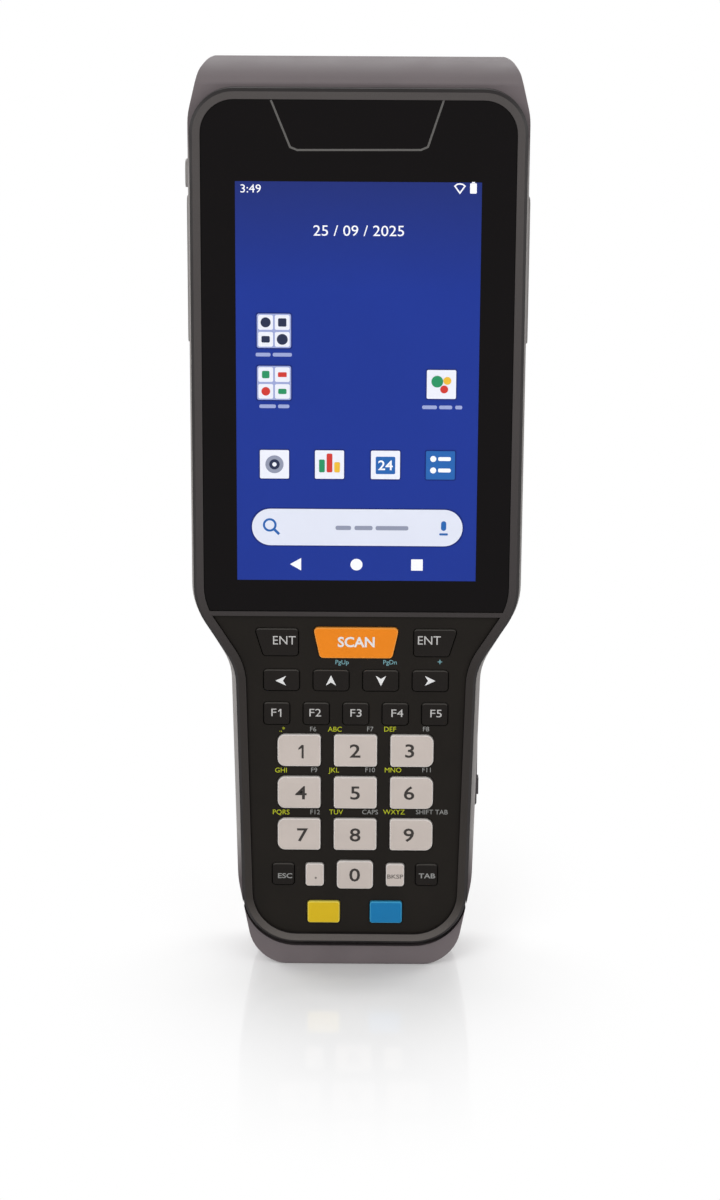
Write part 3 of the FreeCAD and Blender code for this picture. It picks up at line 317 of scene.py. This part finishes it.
# After its colour, a moulded slot has its roughness and gloss, a metal one its roughness and
# the stretch of its marks, and a polished one its gloss
materials = {
    "frame_rubber": frame_rubber(),
    "touch_glass": polished("touch_glass", linear(16, 12, 13), 0.1),
    "black_foam": moulded("black_foam", linear(30, 30, 30), 0.9, 0.1, 0.5 * MM, 0.05 * MM),
    "display_metal": metal("display_metal", linear(190, 190, 194), 0.35, (1.0, 1.0, 12.0)),
    "panel_plastic": moulded("panel_plastic", linear(33, 30, 27), 0.5, 0.1),
    "membrane_rubber": moulded("membrane_rubber", linear(60, 60, 60), 0.7, 0.2),
    "board_green": circuit_board(),
    "dome_steel": metal("dome_steel", linear(215, 215, 215), 0.25),
    # The housing's front-facing rim beside the grip and head is painted paler: a painted highlight
    "housing_plastic": moulded(
        "housing_plastic", linear(106, 98, 100), 0.5, 0.3, change=0.06,
        painted_highlight=linear(176, 172, 170), highlight_faces=FRONT_FACES,
        highlight_heights=((22.0 * MM, 34.0 * MM), (200.0 * MM, 190.0 * MM))),
    "door_plastic": moulded("door_plastic", linear(102, 94, 96), 0.52, 0.3, change=0.06),
    "latch_plastic": moulded("latch_plastic", linear(48, 47, 47), 0.45, 0.3),
    "battery_plastic": moulded("battery_plastic", linear(42, 42, 45), 0.45, 0.3),
    "pin_steel": metal("pin_steel", linear(205, 205, 205), 0.25, (12.0, 1.0, 1.0)),
    "contact_gold": metal("contact_gold", linear(228, 190, 110), 0.22),
    "chassis_metal": metal("chassis_metal", linear(170, 170, 172), 0.45),
    "screw_steel": metal("screw_steel", linear(120, 120, 122), 0.35),
    "insert_brass": metal("insert_brass", linear(210, 175, 105), 0.3),
    "scan_glass": polished("scan_glass", linear(52, 6, 8), 0.4),
    "engine_plastic": moulded("engine_plastic", linear(34, 34, 34), 0.6, 0.3),
    "camera_glass": polished("camera_glass", linear(14, 14, 18), 0.5, rough=0.03),
    "flash_plastic": polished("flash_plastic", linear(222, 216, 170), 0.5, rough=0.2),
    "trigger_plastic": moulded("trigger_plastic", linear(150, 147, 145), 0.5, 0.35),
    "port_steel": metal("port_steel", linear(195, 195, 195), 0.3, (12.0, 1.0, 1.0)),
    "cover_rubber": moulded("cover_rubber", linear(84, 80, 82), 0.65, 0.2),
    # The second colour of each key cap is a painted highlight on its bevels
    "pale_key": key_cap("pale_key", linear(193, 182, 175), linear(222, 216, 211)),
    # The dark keys' upper bevels are painted paler: a painted highlight from light above
    "dark_key": moulded(
        "dark_key", linear(33, 30, 28), 0.45, 0.1,
        painted_highlight=linear(78, 75, 72), highlight_faces=UPPER_BEVELS),
    "yellow_key": key_cap("yellow_key", linear(211, 177, 22), linear(232, 214, 92)),
    "blue_key": key_cap("blue_key", linear(0, 114, 168), linear(64, 160, 205)),
    "orange_key": key_cap("orange_key", linear(230, 128, 12), linear(246, 160, 70)),
}
frame_slots = {part["node"]: part["material_slot"] for part in frame["record"]["subparts"]}
for node_name, node_slot in frame_slots.items():
    node = frame["nodes"][node_name]
    node.data.materials.clear()
    node.data.materials.append(materials[node_slot])

inks = {
    "white": printed("white_ink", linear(222, 222, 222)),
    "silver": printed("silver_ink", linear(184, 182, 180)),
    "grey": printed("grey_ink", linear(140, 140, 138)),
    "dark": printed("dark_ink", linear(58, 54, 52)),
    "faint": printed("faint_ink", linear(112, 106, 102)),
    "yellow": printed("yellow_ink", linear(178, 184, 36)),
    "aqua": printed("aqua_ink", linear(120, 168, 176)),
    "line": printed("line_ink", linear(92, 90, 88)),
    "label": printed("label_ink", linear(78, 78, 82)),
}

# Flat marks, drawn in the plane of X and Z
# A mark reaches this far in front of its face, and as far into it
INK_DEPTH = 0.02 * MM
# A text's size is the height of its capitals divided by this
CAPITAL_SHARE = 0.72
# Points of a text that are nearer than this become one
SAME_POINT = 0.0005 * MM


def add_piece(name, mesh, body, ink):
    """A finished mesh as a piece that moves with a body."""
    data = bpy.data.meshes.new(name)
    mesh.to_mesh(data)
    mesh.free()
    data.materials.append(ink)
    piece = link(bpy.data.objects.new(name, data))
    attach(piece, body)


def add_plate(mesh, loops, face_y):
    """A thin plate: one loop of points is its edge, and two are the edges of a ring."""
    sides = [
        [[mesh.verts.new((x * MM, face_y + depth, z * MM)) for x, z in loop] for loop in loops]
        for depth in (-INK_DEPTH, INK_DEPTH)]
    count = len(loops[0])
    edges = [(index, (index + 1) % count) for index in range(count)]
    for faces in sides:
        if len(loops) == 1:
            mesh.faces.new(faces[0])
            continue
        outer, inner = faces
        for start, end in edges:
            mesh.faces.new((outer[start], outer[end], inner[end], inner[start]))
    for front, back in zip(*sides):
        for start, end in edges:
            mesh.faces.new((front[end], front[start], back[start], back[end]))


def outline_piece(name, outlines, face_y, body, ink):
    """Thin plates with the given outlines, half sunk into the face that carries them."""
    mesh = bmesh.new()
    for outline in outlines:
        add_plate(mesh, outline if isinstance(outline, tuple) else (outline,), face_y)
    bmesh.ops.recalc_face_normals(mesh, faces=mesh.faces)
    add_piece(name, mesh, body, ink)


def rounded(x, z, width, height, radius, steps=6):
    """A rectangle with round corners, as points."""
    points = []
    for turn, (side, rise) in enumerate(((1, 1), (-1, 1), (-1, -1), (1, -1))):
        for step in range(steps + 1):
            angle = math.pi / 2 * (turn + step / steps)
            points.append((
                x + side * (width / 2 - radius) + radius * math.cos(angle),
                z + rise * (height / 2 - radius) + radius * math.sin(angle)))
    return points


def disc(x, z, radius, steps=28):
    """A circle, as points."""
    return [
        (x + radius * math.cos(2 * math.pi * step / steps),
         z + radius * math.sin(2 * math.pi * step / steps)) for step in range(steps)]


def stroke(points, width, closed=False):
    """A line of constant width with mitred corners: one outline, or a ring where it is closed."""
    left = []
    right = []
    for index, (x, z) in enumerate(points):
        follower = points[(index + 1) % len(points)]
        runs = [(points[index - 1], (x, z)), ((x, z), follower)]
        if not closed and index == 0:
            runs = runs[1:]
        if not closed and index == len(points) - 1:
            runs = runs[:1]
        side_x = 0.0
        side_z = 0.0
        for (x1, z1), (x2, z2) in runs:
            length = math.hypot(x2 - x1, z2 - z1) * len(runs)
            side_x -= (z2 - z1) / length
            side_z += (x2 - x1) / length
        reach = width / 2 / (side_x ** 2 + side_z ** 2)
        left.append((x + side_x * reach, z + side_z * reach))
        right.append((x - side_x * reach, z - side_z * reach))
    return (left, right) if closed else left + right[::-1]


def one(x, z, height):
    """The numeral 1, with a flag, as one outline: the text font has a bare bar."""
    half = 0.075 * height
    flag = 0.3 * height
    top = z + height / 2
    bottom = z - height / 2
    return [
        (x - half, bottom), (x + half, bottom), (x + half, top), (x - half, top),
        (x - flag, top - 0.24 * height), (x - flag, top - 0.38 * height),
        (x - half, top - 0.22 * height)]


def lettering(name, words, face_y, body, ink, bold=0.0, wide=1.0):
    """Flat text on a face. Each word is (text, x, z, height of its capitals), in millimetres."""
    made = []
    for index, (text, x, z, height) in enumerate(words):
        data = bpy.data.curves.new("%s_%d" % (name, index), "FONT")
        data.body = text
        data.align_x = "CENTER"
        data.align_y = "CENTER"
        data.size = height / CAPITAL_SHARE * MM
        data.extrude = INK_DEPTH
        data.offset = bold * MM
        data.resolution_u = 3
        word = link(bpy.data.objects.new("%s_%d" % (name, index), data))
        word.rotation_euler = (math.pi / 2, 0.0, 0.0)
        word.location = (x * MM, face_y, z * MM)
        word.scale.x = wide
        made.append(word)
    bpy.context.view_layer.update()
    graph = bpy.context.evaluated_depsgraph_get()
    joined = bmesh.new()
    for word in made:
        shape = bpy.data.meshes.new_from_object(word.evaluated_get(graph))
        shape.transform(word.matrix_world)
        joined.from_mesh(shape)
        bpy.data.meshes.remove(shape)
        bpy.data.objects.remove(word)
    bmesh.ops.remove_doubles(joined, verts=joined.verts, dist=SAME_POINT)
    add_piece(name, joined, body, ink)


# Labels on the keys
DIGIT_HEIGHT = 3.35
LEGEND_HEIGHT = 1.95
LEGEND_Z = 64.45
SMALL_HEIGHT = 1.25
DIGITS = {
    "2": (-0.1, 55.0), "3": (12.9, 55.1),
    "4": (-12.9, 44.45), "5": (0.0, 44.5), "6": (12.8, 44.55),
    "7": (-12.7, 33.85), "8": (0.0, 33.9), "9": (12.85, 33.95), "0": (-0.05, 23.7)}
# A notched arrowhead that points left
ARROWHEAD = [(-1.3, 0.0), (1.2, 1.2), (0.45, 0.0), (1.2, -1.2)]


def key_label(key, text, height, ink, x, z, bold=0.0, wide=1.0):
    """One word on a key's face."""
    face_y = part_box(key)[0].y
    lettering(key + "_label", [(text, x, z, height)], face_y, key, inks[ink],
              bold, wide)


def arrow_label(key, x, z, turn):
    """An arrowhead on a key's face, turned by that many quarter turns."""
    angle = turn * math.pi / 2
    points = [
        (x + px * math.cos(angle) - pz * math.sin(angle),
         z + px * math.sin(angle) + pz * math.cos(angle)) for px, pz in ARROWHEAD]
    outline_piece(key + "_label", [points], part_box(key)[0].y, key, inks["white"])


for digit, (x, z) in DIGITS.items():
    key_label("key_" + digit, digit, DIGIT_HEIGHT, "dark", x, z, bold=0.06, wide=1.2)
outline_piece("key_1_label", [one(-12.55, 54.95, DIGIT_HEIGHT)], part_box("key_1")[0].y, "key_1",
              inks["dark"])
for index, x in enumerate((-9.63, 0.07, 9.77, 18.99), start=2):
    key_label("key_f%d" % index, "F%d" % index, LEGEND_HEIGHT, "silver", x, LEGEND_Z, wide=1.2)
key_label("key_f1", "F", LEGEND_HEIGHT, "silver", -19.45, LEGEND_Z, wide=1.2)
outline_piece("key_f1_label_numeral", [one(-17.75, LEGEND_Z, LEGEND_HEIGHT)],
              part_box("key_f1")[0].y, "key_f1", inks["silver"])
key_label("key_enter_left", "ENT", 2.15, "silver", -16.93, 82.2)
key_label("key_enter_right", "ENT", 2.15, "silver", 17.12, 82.4)
key_label("key_scan", "SCAN", 2.45, "white", 0.1, 81.95, bold=0.08)
key_label("key_escape", "ESC", SMALL_HEIGHT, "grey", -16.8, 23.4, bold=0.03, wide=1.25)
key_label("key_tab", "TAB", SMALL_HEIGHT, "grey", 17.33, 23.6, bold=0.03, wide=1.25)
key_label("key_point", ".", 2.6, "faint", -9.4, 24.0, bold=0.05)
key_label("key_backspace", "BKSP", 1.05, "faint", 9.65, 23.5, bold=0.03, wide=1.25)
arrow_label("key_arrow_left", -17.66, 72.4, 0)
arrow_label("key_arrow_up", -5.87, 72.5, 3)
arrow_label("key_arrow_down", 5.92, 72.55, 1)
arrow_label("key_arrow_right", 17.47, 72.6, 2)

# Small legends on the keypad panel
panel_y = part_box("keypad_panel")[0].y
lettering("panel_legend_yellow", [
    (".,*", -17.45, 60.2, 1.2), ("ABC", -4.89, 60.3, 1.25), ("DEF", 8.14, 60.4, 1.25),
    ("GHI", -17.71, 50.0, 1.25), ("JKL", -5.09, 50.1, 1.25), ("MNO", 8.94, 50.2, 1.25),
    ("PQRS", -17.73, 39.45, 1.25), ("TUV", -4.59, 39.55, 1.25), ("WXYZ", 9.27, 39.65, 1.25),
], panel_y, "terminal", inks["yellow"])
lettering("panel_legend_white", [
    ("F6", -10.1, 60.3, 1.2), ("F7", 3.41, 60.4, 1.2), ("F8", 16.67, 60.5, 1.2),
    ("F9", -9.85, 50.1, 1.2), ("F10", 3.47, 50.2, 1.2), ("F11", 17.03, 50.3, 1.2),
    ("F12", -9.6, 39.5, 1.2), ("CAPS", 3.54, 39.6, 1.2), ("SHIFT TAB", 18.3, 39.7, 1.2),
], panel_y, "terminal", inks["grey"])
lettering("panel_legend_aqua", [
    ("PgUp", -3.29, 76.9, 1.1), ("PgDn", 8.01, 76.95, 1.1), ("+", 19.77, 77.05, 1.6),
], panel_y, "terminal", inks["aqua"])

# Display: the image lies on the glass, and its marks lie on the image in layers
# Their points are counted from the display's centre, which is at this height
CENTER_Z = 143.3
HALF_WIDTH = 27.8
HALF_HEIGHT = 46.33
GLOW = 0.12
# The layers, from the glass towards the front
IMAGE, PAGE, TILES, MARKS, DETAILS, HUB = range(6)
glass_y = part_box("touch_panel")[0].y


def layer(number):
    """Where a layer of the display lies."""
    return glass_y - 2 * INK_DEPTH * number


def at_display(outline):
    """An outline given from the display's centre, moved to where it is."""
    if isinstance(outline, tuple):
        return tuple(at_display(loop) for loop in outline)
    return [(x, z + CENTER_Z) for x, z in outline]


def lit_image(name, top, bottom):
    """The lit display under smooth glass: one colour above, which changes to one below."""
    change_start = 165.0 * MM
    change_end = 190.0 * MM
    made = Shader(name)
    rise = made.rising(change_start, change_end)
    cloud = made.spread(made.noise(30.0 * MM, 3.0), 0.0, 1.0)
    varied = made.mixed(
        cloud, made.mixed(rise, bottom, top), made.mixed(rise, dimmed(bottom, 0.94), top))
    made.shade(
        Base_Color=varied, Emission_Color=varied, Emission_Strength=GLOW, Roughness=0.12,
        Specular_IOR_Level=0.08)
    return made.material


def plain_image(name, red, green, blue):
    """The same with one colour."""
    return lit_image(name, linear(red, green, blue), linear(red, green, blue))


screen_blue = lit_image("screen_blue", linear(38, 50, 112), linear(36, 56, 140))
screen_bright = plain_image("screen_bright", 240, 241, 246)
screen_white = plain_image("screen_white", 228, 230, 240)
screen_bar = plain_image("screen_bar", 216, 220, 234)
screen_pale = plain_image("screen_pale", 150, 160, 205)
screen_grey = plain_image("screen_grey", 140, 145, 165)
screen_shade = plain_image("screen_shade", 29, 44, 112)
screen_dark = plain_image("screen_dark", 48, 54, 78)
screen_mid = plain_image("screen_mid", 46, 98, 168)
screen_green = plain_image("screen_green", 48, 140, 96)
screen_red = plain_image("screen_red", 200, 62, 56)
screen_amber = plain_image("screen_amber", 228, 180, 60)


def display_piece(name, level, ink, outlines):
    """Plates on the display, whose outlines are given from its centre."""
    outline_piece(
        name, [at_display(outline) for outline in outlines], layer(level), "terminal", ink)


display_piece("display_image", IMAGE, screen_blue, [[
    (-HALF_WIDTH, HALF_HEIGHT), (HALF_WIDTH, HALF_HEIGHT),
    (HALF_WIDTH, -HALF_HEIGHT), (-HALF_WIDTH, -HALF_HEIGHT)]])

# Tiles of the shown page, each with a thin dark edge, which adds EDGE to its width and height
TILE = 6.7
FOLDER_WIDTH = 7.8
FOLDER_HEIGHT = 7.9
EDGE = 0.55
folders = [(-19.1, 12.4), (-19.1, 0.35)]
dial_tile = (-19.06, -18.7)
chart_tile = (-6.35, -18.7)
day_tile = (6.58, -18.7)
last_tile = (19.27, -18.7)
apps = [(19.26, 0.24), dial_tile, chart_tile, day_tile]


def search_bar(grown):
    """The search bar's outline, grown by that much in width and height."""
    return rounded(0.14, -33.6, 48.9 + grown, 8.7 + grown, 4.3, steps=12)


edges = [rounded(x, z, FOLDER_WIDTH + EDGE, FOLDER_HEIGHT + EDGE, 0.6) for x, z in folders]
edges += [rounded(x, z, TILE + EDGE, TILE + EDGE, 0.5) for x, z in apps + [last_tile]]
edges.append(search_bar(EDGE))
display_piece("display_shade", PAGE, screen_shade, edges)
display_piece("display_folders", TILES, screen_pale, [
    rounded(x, z, FOLDER_WIDTH, FOLDER_HEIGHT, 0.5) for x, z in folders])
display_piece("display_tiles", TILES, screen_white, [
    rounded(x, z, TILE, TILE, 0.3) for x, z in apps])
display_piece("display_last_tile", TILES, screen_mid, [rounded(*last_tile, TILE, TILE, 0.3)])
display_piece("display_search_bar", TILES, screen_bar, [search_bar(0.0)])
display_piece("display_navigation", PAGE, screen_bright, [
    [(-15.5, -42.5), (-12.9, -41.0), (-12.9, -44.0)], disc(0.0, -42.5, 1.4),
    rounded(14.1, -42.5, 2.7, 2.7, 0.1)])
fan = [
    (22.84, 43.95), (21.7, 45.5), (22.2, 45.9), (22.84, 46.02), (23.48, 45.9), (23.98, 45.5)]
display_piece("display_status", PAGE, screen_bright, [
    rounded(25.88, 45.0, 1.5, 2.3, 0.2), rounded(25.88, 46.25, 0.7, 0.4, 0.1),
    stroke(fan, 0.3, closed=True)])

# Marks on the tiles: plain shapes, in the colours of such a page
display_piece("display_folder_tiles", MARKS, screen_white, [
    rounded(x + side, z + rise, 3.4, 3.4, 0.4)
    for x, z in folders for side in (-1.9, 1.9) for rise in (-1.95, 1.95)])
display_piece("display_marks_dark", DETAILS, screen_dark, [
    disc(-21.0, 14.35, 1.15), rounded(-17.2, 14.35, 1.9, 1.9, 0.3),
    rounded(-21.0, 10.45, 1.9, 1.5, 0.3), disc(-17.2, 10.45, 1.25)])
display_piece("display_marks_red", DETAILS, screen_red, [
    rounded(-17.2, 2.3, 2.0, 1.1, 0.2), disc(-21.0, -1.6, 1.0),
    rounded(-6.35, -18.3, 1.3, 4.4, 0.3), disc(19.9, -0.9, 0.9)])
display_piece("display_marks_green", DETAILS, screen_green, [
    rounded(-21.0, 2.3, 1.7, 1.7, 0.3), rounded(-17.2, -1.6, 1.9, 1.2, 0.3),
    rounded(-8.1, -19.0, 1.3, 3.0, 0.3), disc(18.3, 0.9, 1.35)])
display_piece("display_marks_amber", DETAILS, screen_amber, [
    rounded(-4.6, -19.3, 1.3, 2.4, 0.3), disc(20.6, 1.1, 0.9)])
display_piece("display_marks_grey", MARKS, screen_grey, [disc(*dial_tile, 2.1)] + [
    rounded(x, -33.7, width, 1.0, 0.4) for x, width in ((-3.1, 3.6), (1.6, 4.2), (8.2, 7.6))])
display_piece("display_mark_dial", DETAILS, screen_dark, [disc(*dial_tile, 1.2)])
display_piece("display_mark_hub", HUB, screen_white, [disc(*dial_tile, 0.5)])
display_piece("display_mark_day", MARKS, screen_mid, [rounded(6.58, -18.8, 4.5, 4.1, 0.3)])
display_piece("display_marks_white", MARKS, screen_bright, [
    disc(17.6, -17.2, 0.7), rounded(20.2, -17.2, 2.9, 0.9, 0.3),
    disc(17.6, -19.9, 0.7), rounded(20.2, -19.9, 2.9, 0.9, 0.3)])
display_piece("display_captions", PAGE, screen_pale, [
    rounded(x, z, width, 0.85, 0.35) for x, z, width in (
        (-21.6, 6.9, 3.4), (-17.2, 6.9, 4.4), (-20.6, -5.1, 3.8), (-16.9, -5.1, 2.6),
        (16.6, -5.1, 3.4), (20.3, -5.1, 3.0), (23.3, -5.1, 1.6))])
display_piece("display_search_marks", MARKS, screen_mid, [
    stroke(disc(-20.2, -33.1, 1.35, steps=24), 0.5, closed=True),
    stroke([(-19.07, -34.23), (-18.0, -35.3)], 0.6),
    rounded(20.2, -33.1, 1.2, 2.3, 0.6), rounded(20.2, -35.1, 2.0, 0.5, 0.2)])
lettering("display_numbers", [
    ("3:49", -24.29, 44.6 + CENTER_Z, 1.9), ("25 / 09 / 2025", 0.17, 35.2 + CENTER_Z, 2.45),
], layer(PAGE), "terminal", screen_bright, wide=1.08)
lettering("display_day", [("24", 6.58, -18.9 + CENTER_Z, 2.3)], layer(DETAILS), "terminal",
          screen_bright, bold=0.04, wide=1.1)

# The thin line round the bare name field on the glass
field = at_display([
    (-19.66, 64.4), (-15.38, 54.01), (-13.81, 53.35), (13.98, 53.52), (15.54, 54.2),
    (19.0, 64.6)])
outline_piece("glass_field_line", [stroke(field, 0.45)], glass_y, "terminal", inks["line"])


# The battery pack's bare label field, its lines and the signs over its contacts
def add_battery_marks():
    low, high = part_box("battery_pack")
    middle = (low.z + high.z) / 2 / MM
    face_y = high.y
    outline_piece("battery_label", [rounded(0.0, middle, 36.0, 50.0, 1.5)], face_y, "terminal",
                  inks["label"])
    lines = [rounded(0.0, middle + rise, 30.0, 0.5, 0.2) for rise in (-19.0, -12.0, 12.0, 19.0)]
    lines.append(stroke(disc(0.0, middle, 6.0), 0.6, closed=True))
    outline_piece("battery_label_lines", lines, face_y + 2 * INK_DEPTH, "terminal",
                  inks["grey"])
    # A minus at one side and a plus at the other, whose upright is in two halves
    sign_x = 6.0
    sign_z = low.z / MM + 4.0
    signs = [rounded(side * sign_x, sign_z, 2.4, 0.6, 0.1) for side in (-1, 1)]
    signs += [rounded(sign_x, sign_z + rise, 0.6, 0.8, 0.1) for rise in (0.9, -0.9)]
    outline_piece("battery_signs", signs, face_y, "terminal", inks["silver"])


add_battery_marks()


# Floor, light and background
def add_floor():
    """A smooth white floor that mirrors the terminal near it and turns plain white farther out."""
    half = 12.0
    floor_z = -0.02 * MM
    pale = (0.96, 0.96, 0.96, 1.0)
    fade_start = 0.012
    fade_end = 0.13
    fade_shape = (1.7, 1.0, 1.0)
    made = Shader("floor")
    made.shade(Base_Color=pale, Roughness=0.06, Specular_IOR_Level=0.6)
    distance = made.node("ShaderNodeVectorMath")
    distance.operation = "LENGTH"
    made.feed(made.stretched(fade_shape), distance.inputs[0])
    fade = made.mapped(distance.outputs["Value"], fade_start, fade_end)
    fade.node.interpolation_type = "SMOOTHSTEP"
    white = made.node("ShaderNodeEmission")
    blend = made.node(
        "ShaderNodeMixShader", Fac=made.combined("MULTIPLY", fade, made.looked_at()))
    made.feed(made.surface.outputs["BSDF"], blend.inputs[1])
    made.feed(white.outputs["Emission"], blend.inputs[2])
    made.feed(blend.outputs["Shader"], made.tree.nodes["Material Output"].inputs["Surface"])
    mesh = bmesh.new()
    corners = [(-half, -half), (half, -half), (half, half), (-half, half)]
    mesh.faces.new([mesh.verts.new((x, y, floor_z)) for x, y in corners])
    data = bpy.data.meshes.new("floor")
    mesh.to_mesh(data)
    mesh.free()
    data.materials.append(made.material)
    link(bpy.data.objects.new("floor", data))


def add_background():
    """A white background that gives less light than it shows."""
    light = 0.42
    shown = 1.0
    world = bpy.data.worlds.new("studio")
    scene.world = world
    world.use_nodes = True
    sky = Nodes(world.node_tree)
    strength = sky.mapped(sky.looked_at(), 0.0, 1.0, light, shown)
    sky.fill(sky.tree.nodes["Background"], {"Strength": strength, "Color": (1.0, 1.0, 1.0, 1.0)})


def add_lamp(name, place, size, power):
    """A soft square lamp aimed at the middle of the terminal."""
    middle = Vector((0.0, 0.0, 0.11))
    data = bpy.data.lights.new(name, "AREA")
    data.size = size
    data.energy = power
    lamp = link(bpy.data.objects.new(name, data))
    lamp.location = place
    aim = middle - Vector(place)
    lamp.rotation_euler = aim.to_track_quat("-Z", "Y").to_euler()


add_floor()
add_background()
add_lamp("key_lamp", (-0.5, -1.0, 0.8), 0.7, 6.2)
add_lamp("fill_lamp", (0.8, -0.8, 0.5), 0.8, 3.1)
add_lamp("back_lamp", (0.0, 0.8, 1.1), 0.8, 3.6)
add_lamp("left_lamp", (-1.0, 0.55, 0.4), 0.7, 7.5)
add_lamp("right_lamp", (1.0, 0.55, 0.4), 0.7, 7.5)
scene.view_settings.view_transform = "Standard"
